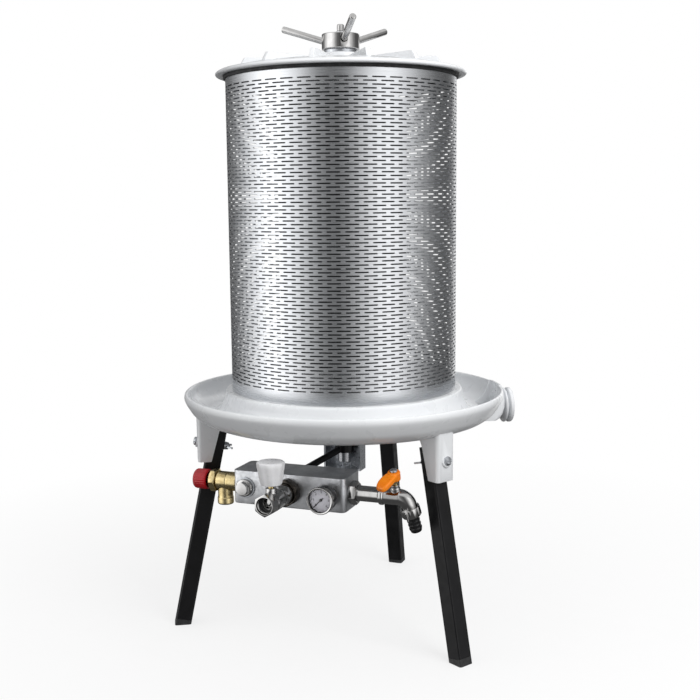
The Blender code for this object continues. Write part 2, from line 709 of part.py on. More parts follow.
def build_plug(axis):
    port = Vector((PLUG_X, BLOCK_LOW.y, GALLERY_Z))
    place_turned("plug_washer", [(11.2, 0.3), (17, 0.3), (17, 2.2), (11.2, 2.2)],
                 "zinc", axis, 20, port, TO_FRONT)
    plug = place_turned("blanking_plug", [
        (0, -13), (10.5, -13), (10.5, 2.5), (14.5, 2.5), (14.5, 6), (13.5, 7), (0, 7),
    ], "zinc", axis, 20, port, TO_FRONT)
    head = extruded("head", hexagon(19 * MM), 6 * MM, 15 * MM)
    fuse(plug, place("head", head, "zinc", axis, port, TO_FRONT))


def build_gauge(axis):
    port = Vector((GAUGE_X, BLOCK_LOW.y, GALLERY_Z))

    def ring(name, profile, look, turns=16):
        return place_turned(name, profile, look, axis, turns, port, TO_FRONT)

    socket_part = ring("gauge_socket", [
        (0, -12), (6.4, -12), (6.4, 1), (5, 1), (5, 13), (0, 13),
    ], "brass", 14)
    head = extruded("head", hexagon(14 * MM), 0.4 * MM, 9 * MM)
    fuse(socket_part, place("head", head, "brass", axis, port, TO_FRONT))
    ring("gauge_case", [
        (5.3, 10), (17, 10), (20.5, 13), (20.5, 34), (19.3, 34), (19.3, 14), (16.5, 11.5), (5.3, 11.5),
    ], "black_plastic", 24)
    ring("gauge_bezel", [
        (20.8, 29), (21.7, 29.5), (21.7, 37), (20.8, 38.5), (18.4, 38), (18.4, 37.4), (20.8, 37.2),
    ], "chrome", 24)
    ring("gauge_lens", [(0, 34.4), (20.4, 34.4), (20.4, 36.6), (0, 36.9)], "clear_plastic", 24)
    ring("gauge_dial", [(1.2, 28.6), (19, 28.6), (19, 29.6), (1.2, 29.6)], "dial_white", 24)
    pointer = ring("gauge_pointer", [
        (0, 24), (0.9, 24), (0.9, 30), (2.4, 30), (2.4, 31.6), (0, 31.6),
    ], "black_plastic", 16)
    needle = [(-0.9, -5), (0.9, -5), (0.5, 14), (0, 15.5), (-0.5, 14)]
    blade = extruded("needle", [(x * MM, y * MM) for x, y in needle], 30.4 * MM, 31.2 * MM)
    start = TO_FRONT @ Matrix.Rotation(GAUGE_START, 3, "Z").to_quaternion()
    fuse(pointer, place("needle", blade, "black_plastic", axis, port, start))


def build_inlet(axis):
    """Water inlet along -Y: union nut, ball valve, hexagonal female end and a fluted knob."""
    port = Vector((INLET_X, BLOCK_LOW.y, GALLERY_Z))
    frame = empty("inlet_frame", port, parent=axis)
    stem = (0, -INLET_STEM, 0)

    def ring(name, profile, look, turns=16):
        return place_turned(name, profile, look, frame, turns, (0, 0, 0), TO_FRONT)

    ring("inlet_union_nut", [
        (17.2, 0.3), (20, 0.3), (21.5, 2), (21.5, 14), (20, 16), (17.2, 16),
    ], "dark_bronze", 20)
    body = ring("inlet_valve_body", [
        (0, -13), (10.5, -13), (10.5, 0.5), (15, 0.5), (16.5, 1.5), (16.5, 70), (15, 73), (0, 73),
    ], "chrome", 20)
    end = extruded("end", hexagon(31 * MM), 72 * MM, 90 * MM)
    fuse(body, place("end", end, "chrome", frame, rotation=TO_FRONT @ SIXTH_TURN))
    boss = extruded("boss", circle(8.5 * MM, 16), 8 * MM, 22 * MM)
    fuse(body, place("boss", boss, "chrome", frame, stem))
    drill(body, frame, (0, 20 * MM, 0), (0, -100 * MM, 0), 7 * MM)
    drill(body, frame, (0, -76 * MM, 0), (0, -100 * MM, 0), 13.2 * MM, 32)
    drill(body, frame, stem, (0, -INLET_STEM, 30 * MM), 4.6 * MM)
    cut(body, place("pocket", ball_mesh(11.3 * MM), "chrome", frame, stem))

    ball = place("inlet_ball", ball_mesh(10.8 * MM), "chrome", frame, stem)
    drill(ball, frame, (-20 * MM, -INLET_STEM, 0), (20 * MM, -INLET_STEM, 0), 6 * MM)
    slot = rounded_box(2.8 * MM, 1.5 * MM, 0.2 * MM, 1)
    cut(ball, place("slot", extruded("slot", slot, 8.9 * MM, 15 * MM), "chrome", frame, stem))
    turning = place_turned("inlet_stem", [
        (0, 11.2), (4.3, 11.2), (4.3, 56), (0, 56),
    ], "brass", frame, 14, stem)
    tongue = rounded_box(2.5 * MM, 1.2 * MM, 0.2 * MM, 1)
    tongue_mesh = extruded("tongue", tongue, 9.2 * MM, 12 * MM)
    fuse(turning, place("tongue", tongue_mesh, "brass", frame, stem))
    place("inlet_knob", knob_mesh(), "white_plastic", frame, stem)


def ball_mesh(radius):
    steps = 6
    profile = [(0, -radius)]
    for i in range(1, steps):
        angle = pi * i / steps - pi / 2
        profile.append((radius * cos(angle), radius * sin(angle)))
    profile.append((0, radius))
    return turned("ball", profile, 14)


def knob_mesh():
    """A fluted knob that widens upwards, with a blind hole for its stem."""
    flutes, count = 10, 20
    outer = []
    for z, radius, depth in (
        (27.5, 16.2, 0), (29, 17.2, 0.8), (60.5, 22.2, 1.1), (63, 20.8, 0),
    ):
        loop = []
        for i in range(count):
            angle = 2 * pi * i / count
            r = radius - depth * (0.5 + 0.5 * cos(flutes * angle))
            loop.append((r * MM * cos(angle), r * MM * sin(angle), z * MM))
        outer.append(loop)
    knob = place("knob", lofted("knob", outer), "white_plastic", None)
    drill(knob, None, (0, 0, 10 * MM), (0, 0, 56.4 * MM), 4.6 * MM)
    mesh = knob.data
    bpy.data.objects.remove(knob)
    return mesh


def build_relief_valve(axis):
    """Spring relief valve along -X with its outlet pointing down and a red twist cap."""
    port = Vector((BLOCK_LOW.x, GALLERY_Y, GALLERY_Z))
    frame = empty("relief_frame", port, TO_LEFT, axis)

    def ring(name, profile, look, turns=16):
        return place_turned(name, profile, look, frame, turns)

    body = ring("relief_valve_body", [
        (0, -14), (10.5, -14), (10.5, 0.3), (13, 0.3), (15.5, 3), (15.5, 38), (14, 40), (0, 40),
    ], "brass", 20)
    outlet_top = port - Vector((RELIEF_OUTLET, 0, 0))
    outlet = place_turned("outlet", [(0, 3), (12.5, 3), (12.5, 36), (11.5, 38), (0, 38)], "brass",
                          axis, 20, outlet_top, TO_FLOOR @ SKEW_TURN)
    fuse(body, outlet)
    drill(body, frame, (0, 0, -20 * MM), (0, 0, 30 * MM), 6.5 * MM)
    drill(body, frame, (0, 0, 20 * MM), (0, 0, 50 * MM), 11.3 * MM)
    low, high = Vector((0, 0, -45 * MM)), Vector((0, 0, -6 * MM))
    drill(body, axis, outlet_top + high, outlet_top + low, 9 * MM)
    bonnet = place("relief_valve_bonnet", extruded(
        "bonnet", hexagon(34 * MM), 40.3 * MM, 51 * MM,
    ), "brass", frame)
    cone = turned("cone", [
        (0, 50 * MM), (16 * MM, 50 * MM), (11 * MM, 56 * MM), (9 * MM, 62 * MM), (0, 62 * MM),
    ])
    fuse(bonnet, place("cone", cone, "brass", frame))
    nose = extruded("nose", circle(11 * MM, 20), 35 * MM, 42 * MM)
    fuse(bonnet, place("nose", nose, "brass", frame))
    drill(bonnet, frame, (0, 0, 30 * MM), (0, 0, 53 * MM), 8.3 * MM)
    drill(bonnet, frame, (0, 0, 50 * MM), (0, 0, 70 * MM), 3.1 * MM, 16)
    ring("relief_valve_disc", [
        (0, 20.3), (9, 20.3), (9, 23), (2.7, 25), (2.7, 68), (0, 68),
    ], "brass", 14)
    ring("relief_valve_cap", [
        (0, 71), (13.2, 71), (13.2, 57), (15.5, 57), (16.5, 58.5), (16.5, 78), (14.5, 81), (0, 81),
    ], "red_plastic", 20)
    build_spring("relief_valve_spring", frame)


def build_spring(name, frame):
    """A coil of round wire with its ends capped."""
    coils, mean, wire = 4, 6.2 * MM, 0.9 * MM
    low, high = 28 * MM, 50 * MM
    steps, sides = 10, 4
    loops = []
    for k in range(coils * steps + 1):
        angle = 2 * pi * k / steps
        height = low + (high - low) * k / (coils * steps)
        out = Vector((cos(angle), sin(angle), 0))
        loops.append([
            tuple(out * (mean + u) + Vector((0, 0, height + v))) for u, v in circle(wire, sides)
        ])
    place(name, lofted(name, loops), "stainless", frame)


def build_tap(axis):
    """Drain tap along +X: pipe, ball valve, bent spout, union nut and hose tail."""
    port = Vector((BLOCK_HIGH.x, GALLERY_Y, GALLERY_Z))
    lean = Matrix.Rotation(TAP_LEAN, 3, "X").to_quaternion()
    frame = empty("tap_frame", port, lean, axis)
    stem = (TAP_STEM, 0, 0)

    def ring(name, profile, look, turns=16):
        return place_turned(name, profile, look, frame, turns, (0, 0, 0), TO_RIGHT)

    nut = place("tap_lock_nut", extruded("nut", hexagon(33 * MM), 0.3 * MM, 13 * MM), "zinc",
                frame, rotation=TO_RIGHT)
    drill(nut, frame, (-5 * MM, 0, 0), (20 * MM, 0, 0), 13.3 * MM)
    body = ring("tap_body", [
        (0, -14), (12.9, -14), (12.9, 14), (12.4, 15), (12.4, 50), (15, 50), (15, 55), (13, 56),
        (13, 83), (0, 83),
    ], "chrome", 20)
    boss = extruded("boss", circle(7 * MM, 16), 8 * MM, 22 * MM)
    fuse(body, place("boss", boss, "chrome", frame, stem))
    bend, bend_x, turn = 15 * MM, 80 * MM, radians(79)
    steps = 6
    path = [Vector((bend_x - 2 * MM, 0, 0)), Vector((bend_x, 0, 0))]
    for i in range(1, steps + 1):
        angle = turn * i / steps
        path.append(Vector((bend_x + bend * sin(angle), 0, -bend * (1 - cos(angle)))))
    down = Vector((cos(turn), 0, -sin(turn)))
    path.append(path[-1] + down * 11 * MM)
    fuse(body, place("bend", lofted("bend", path_loops(path, 12.6 * MM, 16)), "chrome", frame))
    cut(body, place("bore", lofted("bore", path_loops(
        [Vector((70 * MM, 0, 0))] + path + [path[-1] + down * 5 * MM], 8 * MM, 12,
    )), "chrome", frame))
    drill(body, frame, (-20 * MM, 0, 0), (80 * MM, 0, 0), 7.9 * MM, 20)
    drill(body, frame, stem, (TAP_STEM, 0, 30 * MM), 4.6 * MM)
    cut(body, place("pocket", ball_mesh(10.2 * MM), "chrome", frame, stem))

    turn = Matrix.Rotation(LEVER_TURN, 3, "Z").to_quaternion()
    across = turn @ Vector((0, 20 * MM, 0))
    ball = place("tap_ball", ball_mesh(9.8 * MM), "chrome", frame, stem)
    drill(ball, frame, Vector(stem) - across, Vector(stem) + across, 5.5 * MM)
    slot = rounded_box(1.5 * MM, 2.8 * MM, 0.2 * MM, 1)
    slot_mesh = extruded("slot", slot, 7.9 * MM, 15 * MM)
    cut(ball, place("slot", slot_mesh, "chrome", frame, stem, turn))
    turning = place_turned("tap_stem", [
        (0, 10.2), (4.3, 10.2), (4.3, 29), (3.3, 29), (3.3, 36), (0, 36),
    ], "brass", frame, 14, stem)
    tongue = rounded_box(1.2 * MM, 2.5 * MM, 0.2 * MM, 1)
    tongue_mesh = extruded("tongue", tongue, 8.2 * MM, 11 * MM)
    fuse(turning, place("tongue", tongue_mesh, "brass", frame, stem, turn))
    build_tap_lever(frame, turn)
    place_turned("tap_lever_screw", [
        (0, 36.3), (1.8, 36.3), (1.8, 44.3), (6, 44.3), (5.4, 47), (3, 48.5), (0, 48.9),
    ], "zinc", frame, 14, stem)
    end = path[-1]
    spin = down.to_track_quat("Z", "Y")
    union = place_turned("tap_union_nut", [
        (12.9, -7), (15.5, -7), (16.2, -6), (16.2, 7), (15, 8.3), (10.6, 8.3), (10.6, 3.6),
        (12.9, 3.6),
    ], "chrome", frame, 20, end, spin)
    lug = rounded_box(5 * MM, 1.5 * MM, 1 * MM, 2, (18.5 * MM, 0))
    lug = extruded("lug", lug, -7 * MM, 6 * MM)
    fuse(union, place("lug", lug, "chrome", frame, end, spin @ HALF_TURN))
    place_turned("tap_hose_tail", [
        (7, 0.3), (12.5, 0.3), (12.5, 3.2), (10.2, 3.2), (10.2, 28), (8.9, 36), (7, 36),
    ], "black_plastic", frame, 20, end, spin)


def build_tap_lever(frame, turn):
    """A short wing lever that points to the front left and droops towards its tip."""
    stem = (TAP_STEM, 0, 0)
    lever = place("tap_lever", extruded("hub", circle(10 * MM, 20), 29.4 * MM, 44 * MM),
                  "orange_plastic", frame, stem)
    loops = []
    wing = ((2, 9.5, 33, 43), (18, 10.5, 30, 41), (30, 10, 27, 37), (36, 7, 26, 33))
    for reach, half, low, high in wing:
        section = rounded_box(half, (high - low) / 2, 2.5, 2, (0, (low + high) / 2))
        loops.append([(x * MM, -reach * MM, z * MM) for x, z in section])
    fuse(lever, place("wing", lofted("wing", loops), "orange_plastic", frame, stem, turn))
    drill(lever, frame, (TAP_STEM, 0, 20 * MM), (TAP_STEM, 0, 36.2 * MM), 3.6 * MM)
    drill(lever, frame, (TAP_STEM, 0, 30 * MM), (TAP_STEM, 0, 60 * MM), 2.1 * MM, 16)


def shrink(frame, factor):
    """Reduces everything under a frame about the frame's origin."""
    done = set()
    for item in frame.children_recursive:
        item.location *= factor
        if item.data and item.data.name not in done:
            item.data.transform(Matrix.Scale(factor, 4))
            done.add(item.data.name)
    bpy.context.view_layer.update()


def main():
    clear_scene()
    axis = empty("press_axis", (0, AXIS_Y, 0))
    leg_frames = build_leg_frames(axis)
    manifold = empty("manifold_frame", MANIFOLD_AT, parent=axis)
    bpy.context.view_layer.update()
    build_tray(axis, leg_frames)
    build_legs(leg_frames)
    build_spindle(axis)
    build_bladder(axis)
    build_basket(axis)
    build_lid(axis)
    build_star_nut(axis)
    block = build_block(manifold)
    build_plug(manifold)
    build_gauge(manifold)
    build_inlet(manifold)
    build_relief_valve(manifold)
    build_tap(manifold)
    shrink(manifold, MANIFOLD_SCALE)
    build_hanger(axis, block)
    build_feed(axis, block)


main()
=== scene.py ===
"""Looks of a water-powered bladder press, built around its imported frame.

Each piece is modelled in millimetres in a local frame, a Matrix made by
local(), and stands in world metres, +Z up. The frames come from the boxes and
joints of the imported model, so every piece sits where its CAD solid does.
"""
import json
from math import atan, atan2, cos, hypot, pi, radians, sin, tan

import bmesh
import bpy
import numpy as np
from mathutils import Matrix, Vector


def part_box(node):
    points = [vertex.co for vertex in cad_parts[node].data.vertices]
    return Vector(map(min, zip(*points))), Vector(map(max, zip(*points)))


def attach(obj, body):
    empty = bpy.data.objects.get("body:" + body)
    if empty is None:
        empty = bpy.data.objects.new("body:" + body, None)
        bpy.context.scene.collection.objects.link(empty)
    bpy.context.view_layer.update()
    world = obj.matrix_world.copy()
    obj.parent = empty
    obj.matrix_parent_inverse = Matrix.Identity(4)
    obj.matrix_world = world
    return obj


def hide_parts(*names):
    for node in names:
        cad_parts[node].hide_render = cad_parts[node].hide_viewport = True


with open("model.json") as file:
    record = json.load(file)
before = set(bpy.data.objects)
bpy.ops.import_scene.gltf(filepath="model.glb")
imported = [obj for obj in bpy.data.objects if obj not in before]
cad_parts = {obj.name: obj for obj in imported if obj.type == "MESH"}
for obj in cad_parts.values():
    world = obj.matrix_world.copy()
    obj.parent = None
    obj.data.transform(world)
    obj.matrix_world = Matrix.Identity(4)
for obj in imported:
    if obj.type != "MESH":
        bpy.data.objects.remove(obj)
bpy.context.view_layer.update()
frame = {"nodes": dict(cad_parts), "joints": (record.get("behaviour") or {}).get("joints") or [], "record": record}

MM = 0.001
JOINTS = {joint["name"]: joint for joint in frame["joints"]}
SLOT_OF = {part["node"]: part["material_slot"] for part in frame["record"]["subparts"]}


# ---------------------------------------------------------------- local frames

def local(origin, z=(0, 0, 1), x=None, scale=1.0):
    """Matrix from local millimetres to world metres, with local Z along z."""
    up = Vector(z).normalized()
    if x is None:
        turn = up.to_track_quat("Z", "Y").to_matrix()
    else:
        across = Vector(x)
        across = (across - up * across.dot(up)).normalized()
        turn = Matrix((across, up.cross(across), up)).transposed()
    return Matrix.Translation(origin) @ turn.to_4x4() @ Matrix.Scale(MM * scale, 4)


def middle(node):
    low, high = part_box(node)
    return (low + high) / 2


def heading(azimuth):
    """Outward direction at an azimuth in degrees, from the front (-Y) towards +X."""
    angle = radians(azimuth)
    return Vector((sin(angle), -cos(angle), 0))


def fitting(origin, z=(0, 0, 1), x=None):
    """A local frame on the manifold, whose fittings are drawn at nominal size and reduced."""
    return local(origin, z, x, MANIFOLD_SCALE)


MANIFOLD_SCALE = 0.924
RELIEF_REACH = 27.4         # from the block's end to the relief valve's outlet
LEVER_TURN = -20            # degrees from the front to where the tap's lever rests
AXIS = middle("basket")
AXIS.z = 0
PRESS = local(AXIS)
BLOCK_LOW, BLOCK_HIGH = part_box("manifold_block")
GALLERY = Vector(JOINTS["relief_cap_twist"]["pos_m"])
STEM = -Vector(JOINTS["tap_lever_turn"]["axis"])
TAP_PORT = Vector((BLOCK_HIGH.x, GALLERY.y, GALLERY.z))
OUTLET = Vector((BLOCK_LOW.x - RELIEF_REACH * MM * MANIFOLD_SCALE, GALLERY.y, GALLERY.z))
RELIEF = fitting((BLOCK_LOW.x, GALLERY.y, GALLERY.z), (-1, 0, 0), (0, 0, -1))
RELIEF_OUTLET = fitting(OUTLET, (0, 0, -1), (1, 0, 0))
PLUG = fitting((middle("blanking_plug").x, BLOCK_LOW.y, GALLERY.z), (0, -1, 0), (1, 0, 0))
GAUGE = fitting((middle("gauge_case").x, BLOCK_LOW.y, GALLERY.z), (0, -1, 0), (1, 0, 0))
INLET = fitting((middle("inlet_union_nut").x, BLOCK_LOW.y, GALLERY.z), (0, -1, 0), (1, 0, 0))
INLET_STEM = fitting(JOINTS["inlet_knob_turn"]["pos_m"])
TAP = fitting(TAP_PORT, (1, 0, 0), STEM)
TAP_PLANE = fitting(TAP_PORT, STEM, (1, 0, 0))
TAP_STEM = fitting(JOINTS["tap_lever_turn"]["pos_m"], STEM, (1, 0, 0))
LEVER = TAP_STEM @ Matrix.Rotation(radians(LEVER_TURN), 4, "Z")
UNION = JOINTS["tap_union_spin"]
TAP_END = fitting(UNION["pos_m"], UNION["axis"], (1, 0, 0))
SPOUT_AZIMUTH = 120.0


# ---------------------------------------------------------------- modelling

def solid(points, faces, place):
    """A closed mesh with its faces pointing out, from points in a local frame."""
    work = bmesh.new()
    made = [work.verts.new(place @ Vector(point)) for point in points]
    for face in faces:
        work.faces.new([made[i] for i in face])
    bmesh.ops.recalc_face_normals(work, faces=work.faces)
    mesh = bpy.data.meshes.new("solid")
    work.to_mesh(mesh)
    work.free()
    made = bpy.data.objects.new("solid", mesh)
    bpy.context.scene.collection.objects.link(made)
    return made


def show(piece, name, slot, body, *nodes, sharp=35):
    """Names a finished piece, shades it, paints it and lets it ride on its body."""
    piece.name = name
    piece.data.name = name
    piece.data.materials.clear()
    piece.data.materials.append(LOOKS[slot])
    piece.data.shade_smooth()
    piece.data.set_sharp_from_angle(angle=radians(sharp))
    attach(piece, body)
    if nodes:
        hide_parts(*nodes)
    return piece


def softened(profile, radius, steps=3):
    """Rounds the corners of a closed profile, except on the axis."""
    outline = []
    count = len(profile)
    for i, point in enumerate(profile):
        here = Vector(point)
        back = Vector(profile[i - 1]) - here
        ahead = Vector(profile[(i + 1) % count]) - here
        if here.x == 0 or back.length == 0 or ahead.length == 0:
            outline.append(tuple(here))
            continue
        start = here + back.normalized() * min(radius, back.length * 0.45)
        end = here + ahead.normalized() * min(radius, ahead.length * 0.45)
        for k in range(steps + 1):
            t = k / steps
            outline.append(tuple(
                start * (1 - t) ** 2 + here * 2 * t * (1 - t) + end * t * t
            ))
    return outline


def turned(profile, place, turns=96):
    """Profile points (radius, height) turned about local Z, as a solid or as a ring."""
    full = profile[0][0] == 0
    points, rows = [], []
    for radius, height in profile:
        if radius == 0:
            rows.append([len(points)] * turns)
            points.append((0, 0, height))
            continue
        rows.append(list(range(len(points), len(points) + turns)))
        for i in range(turns):
            angle = 2 * pi * i / turns
            points.append((radius * cos(angle), radius * sin(angle), height))
    pairs = list(zip(rows, rows[1:]))
    if not full:
        pairs.append((rows[-1], rows[0]))
    faces = []
    for low, high in pairs:
        for i in range(turns):
            j = (i + 1) % turns
            faces.append(list(dict.fromkeys([low[i], low[j], high[j], high[i]])))
    return solid(points, faces, place)


def lofted(loops, place):
    """Loops of points with equal counts, skinned in order and capped."""
    count = len(loops[0])
    points = [point for loop in loops for point in loop]
    faces = [list(range(count))[::-1]]
    for k in range(len(loops) - 1):
        a, b = k * count, (k + 1) * count
        for i in range(count):
            j = (i + 1) % count
            faces.append([a + i, a + j, b + j, b + i])
    last = (len(loops) - 1) * count
    faces.append(list(range(last, last + count)))
    return solid(points, faces, place)


def circle(radius, count, start=0.0):
    return [
        (radius * cos(start + 2 * pi * i / count), radius * sin(start + 2 * pi * i / count))
        for i in range(count)
    ]


def extruded(outline, low, high, place):
    return lofted([[(x, y, z) for x, y in outline] for z in (low, high)], place)


def rounded_box(half_x, half_y, corner, steps=6, centre=(0, 0)):
    """A rectangle with rounded corners, anticlockwise."""
    outline = []
    for k, (sx, sy) in enumerate(((1, 1), (-1, 1), (-1, -1), (1, -1))):
        for i in range(steps + 1):
            angle = (k + i / steps) * pi / 2
            outline.append((
                centre[0] + sx * (half_x - corner) + corner * cos(angle),
                centre[1] + sy * (half_y - corner) + corner * sin(angle),
            ))
    return outline


def combine(target, tool, operation):
    modifier = target.modifiers.new(operation.lower(), "BOOLEAN")
    modifier.operation = operation
    modifier.object = tool
    apply_modifiers(target)
    bpy.data.objects.remove(tool, do_unlink=True)
    return target


def apply_modifiers(target):
    bpy.context.view_layer.update()
    graph = bpy.context.evaluated_depsgraph_get()
    target.data = bpy.data.meshes.new_from_object(target.evaluated_get(graph))
    target.modifiers.clear()


def fuse(target, *tools):
    for tool in tools:
        combine(target, tool, "UNION")
    return target


def cut(target, *tools):
    for tool in tools:
        combine(target, tool, "DIFFERENCE")
    return target


def bevel(target, width, angle=35, segments=2):
    """Rounds the edges sharper than an angle, width in millimetres."""
    modifier = target.modifiers.new("bevel", "BEVEL")
    modifier.width = width * MM
    modifier.segments = segments
    modifier.limit_method = "ANGLE"
    modifier.angle_limit = radians(angle)
    apply_modifiers(target)
    return target


def hex_nut(across, low, high, place, bore=0, round_r=None, turn=pi / 6):
    """A hexagonal nut with its corners chamfered on both faces."""
    corner = across / 2 / cos(pi / 6)
    peak = round_r or corner
    drop = (peak - across / 2 * 0.97) * tan(radians(30))
    prism = extruded(circle(corner, 6, turn), low, high, place)
    envelope = turned([
        (0, low), (peak - drop / tan(radians(30)), low), (peak, low + drop),
        (peak, high - drop), (peak - drop / tan(radians(30)), high), (0, high),
    ], place, 72)
    nut = combine(prism, envelope, "INTERSECT")
    if bore:
        cut(nut, turned([(0, low - 2), (bore, low - 2), (bore, high + 2), (0, high + 2)], place, 64))
    return nut


def threaded(radius, depth, pitch, low, high, place, turns=40, steps=6):
    """A rod with a helical ridge on it."""
    loops = []
    rows = int((high - low) / pitch * steps)
    for k in range(rows + 1):
        height = low + (high - low) * k / rows
        loop = []
        for i in range(turns):
            phase = (height / pitch - i / turns) % 1
            r = radius - depth * min(1, max(0, 2.6 * abs(2 * phase - 1) - 0.8))
            angle = 2 * pi * i / turns
            loop.append((r * cos(angle), r * sin(angle), height))
        loops.append(loop)
    return lofted(loops, place)


def lobed(rows, lobes, count, place, sharpness=1.0):
    """Rows of (height, radius, depth), with lobes grooves of that depth around them."""
    loops = []
    for height, radius, depth in rows:
        loop = []
        for i in range(count):
            angle = 2 * pi * i / count
            groove = (0.5 + 0.5 * cos(lobes * angle)) ** sharpness
            r = radius - depth * groove
            loop.append((r * cos(angle), r * sin(angle), height))
        loops.append(loop)
    return lofted(loops, place)


def path_loops(path, radius, count):
    """Circles of points square to a path in the local XZ plane."""
    loops = []
    for k, point in enumerate(path):
        before, after = path[max(k - 1, 0)], path[min(k + 1, len(path) - 1)]
        along = (after - before).normalized()
        across = Vector((0, 1, 0))
        up = along.cross(across)
        loops.append([tuple(point + across * u + up * v) for u, v in circle(radius, count)])
    return loops


# ---------------------------------------------------------------- materials

class Look:
    """A procedural material being wired. Textures run in the piece's own space."""

    def __init__(self, name, colour, roughness, metallic=0.0):
        self.material = bpy.data.materials.new(name)
        self.material.use_nodes = True
        self.nodes = self.material.node_tree.nodes
        self.links = self.material.node_tree.links
        self.shader = self.nodes["Principled BSDF"]
        self.colour = colour
        self.normal = None
        self.set("Base Color", (*colour, 1.0))
        self.set("Roughness", roughness)
        self.set("Metallic", metallic)
        self.place = self.nodes.new("ShaderNodeTexCoord").outputs["Object"]

    def set(self, socket, value):
        self.shader.inputs[socket].default_value = value

    def feed(self, source, socket):
        self.links.new(source, self.shader.inputs[socket])

    def grain(self, size, stretch=(1, 1, 1), detail=3.0):
        """Noise with lumps about size millimetres across, drawn out by stretch."""
        mapping = self.nodes.new("ShaderNodeMapping")
        mapping.inputs["Scale"].default_value = [1 / (size * MM * s) for s in stretch]
        self.links.new(self.place, mapping.inputs["Vector"])
        texture = self.nodes.new("ShaderNodeTexNoise")
        texture.inputs["Scale"].default_value = 1.0
        texture.inputs["Detail"].default_value = detail
        self.links.new(mapping.outputs["Vector"], texture.inputs["Vector"])
        return texture.outputs["Fac"]

    def flakes(self, size):
        """Crystals about size millimetres across, each with its own value."""
        mapping = self.nodes.new("ShaderNodeMapping")
        mapping.inputs["Scale"].default_value = [1 / (size * MM)] * 3
        self.links.new(self.place, mapping.inputs["Vector"])
        texture = self.nodes.new("ShaderNodeTexVoronoi")
        self.links.new(mapping.outputs["Vector"], texture.inputs["Vector"])
        split = self.nodes.new("ShaderNodeSeparateColor")
        self.links.new(texture.outputs["Color"], split.inputs["Color"])
        return split.outputs["Red"]

    def spread(self, source, low, high, start=0.35, end=0.65):
        """Maps start to end of the source onto low to high."""
        node = self.nodes.new("ShaderNodeMapRange")
        node.inputs["From Min"].default_value = start
        node.inputs["From Max"].default_value = end
        node.inputs["To Min"].default_value = low
        node.inputs["To Max"].default_value = high
        self.links.new(source, node.inputs["Value"])
        return node.outputs["Result"]

    def tint(self, source, other, start=0.35, end=0.65):
        """Shifts the base colour towards another where the source is high."""
        node = self.nodes.new("ShaderNodeMix")
        node.data_type = "RGBA"
        self.links.new(self.spread(source, 0, 1, start, end), node.inputs["Factor"])
        old = self.shader.inputs["Base Color"]
        if old.is_linked:
            self.links.new(old.links[0].from_socket, node.inputs["A"])
        else:
            node.inputs["A"].default_value = (*self.colour, 1.0)
        node.inputs["B"].default_value = (*other, 1.0)
        self.feed(node.outputs["Result"], "Base Color")

    def bump(self, source, height):
        """Relief of a height in millimetres."""
        node = self.nodes.new("ShaderNodeBump")
        node.inputs["Distance"].default_value = height * MM
        self.links.new(source, node.inputs["Height"])
        if self.normal:
            self.links.new(self.normal, node.inputs["Normal"])
        self.normal = node.outputs["Normal"]
        self.feed(self.normal, "Normal")


def cast_white():
    """White enamel over a fine casting: slight waviness, orange peel and a faint grey bloom."""
    look = Look("cast_white", (0.83, 0.845, 0.86), 0.32)
    look.tint(look.grain(70), (0.81, 0.825, 0.845))
    look.feed(look.spread(look.grain(25), 0.24, 0.38), "Roughness")
    look.set("Coat Weight", 0.3)
    look.set("Coat Roughness", 0.12)
    look.bump(look.grain(14), 0.04)
    look.bump(look.grain(1.8), 0.010)
    return look.material


def black_paint():
    """Satin black powder coat."""
    look = Look("black_paint", (0.004, 0.004, 0.0045), 0.42)
    look.set("Specular IOR Level", 0.25)
    look.tint(look.grain(40), (0.008, 0.008, 0.009))
    look.feed(look.spread(look.grain(12), 0.36, 0.5), "Roughness")
    look.bump(look.grain(0.9), 0.03)
    return look.material


def black_rubber():
    look = Look("black_rubber", (0.020, 0.020, 0.021), 0.62)
    look.tint(look.grain(18), (0.045, 0.045, 0.047), 0.45, 0.75)
    look.feed(look.spread(look.grain(6), 0.5, 0.75), "Roughness")
    look.bump(look.grain(0.5), 0.03)
    return look.material


def stainless():
    """Rolled sheet, brushed around the basket, with soft handling marks."""
    look = Look("stainless", (0.60, 0.61, 0.63), 0.26, 1.0)
    lines = look.grain(0.5, (90, 90, 1), 4)
    look.tint(look.grain(120, (1, 1, 3)), (0.56, 0.575, 0.595))
    look.feed(look.spread(lines, 0.20, 0.34), "Roughness")
    look.set("Anisotropic", 0.35)
    tangent = look.nodes.new("ShaderNodeTangent")
    tangent.direction_type = "RADIAL"
    tangent.axis = "Z"
    look.feed(tangent.outputs["Tangent"], "Tangent")
    look.bump(lines, 0.003)
    return look.material


def zinc():
    """Bright zinc plate: faint crystals and a blue-grey bloom."""
    look = Look("zinc", (0.56, 0.58, 0.61), 0.34, 1.0)
    look.tint(look.flakes(2.2), (0.47, 0.49, 0.52), 0.2, 0.9)
    look.feed(look.spread(look.grain(4), 0.24, 0.46), "Roughness")
    look.bump(look.grain(0.6), 0.008)
    return look.material


def chrome():
    """Nickel and chrome plate with hairline scuffs."""
    look = Look("chrome", (0.53, 0.525, 0.52), 0.07, 1.0)
    look.tint(look.grain(10), (0.46, 0.455, 0.45))
    look.feed(look.spread(look.grain(0.8, (1, 1, 12)), 0.04, 0.14), "Roughness")
    look.bump(look.grain(5), 0.03)
    return look.material


def cast_aluminium():
    """Fettled casting: sandy grain, paler worn patches."""
    look = Look("cast_aluminium", (0.66, 0.67, 0.69), 0.42, 1.0)
    look.tint(look.grain(22), (0.52, 0.53, 0.55))
    look.feed(look.spread(look.grain(3.0), 0.34, 0.56), "Roughness")
    look.bump(look.grain(0.9), 0.05)
    look.bump(look.grain(7), 0.10)
    return look.material


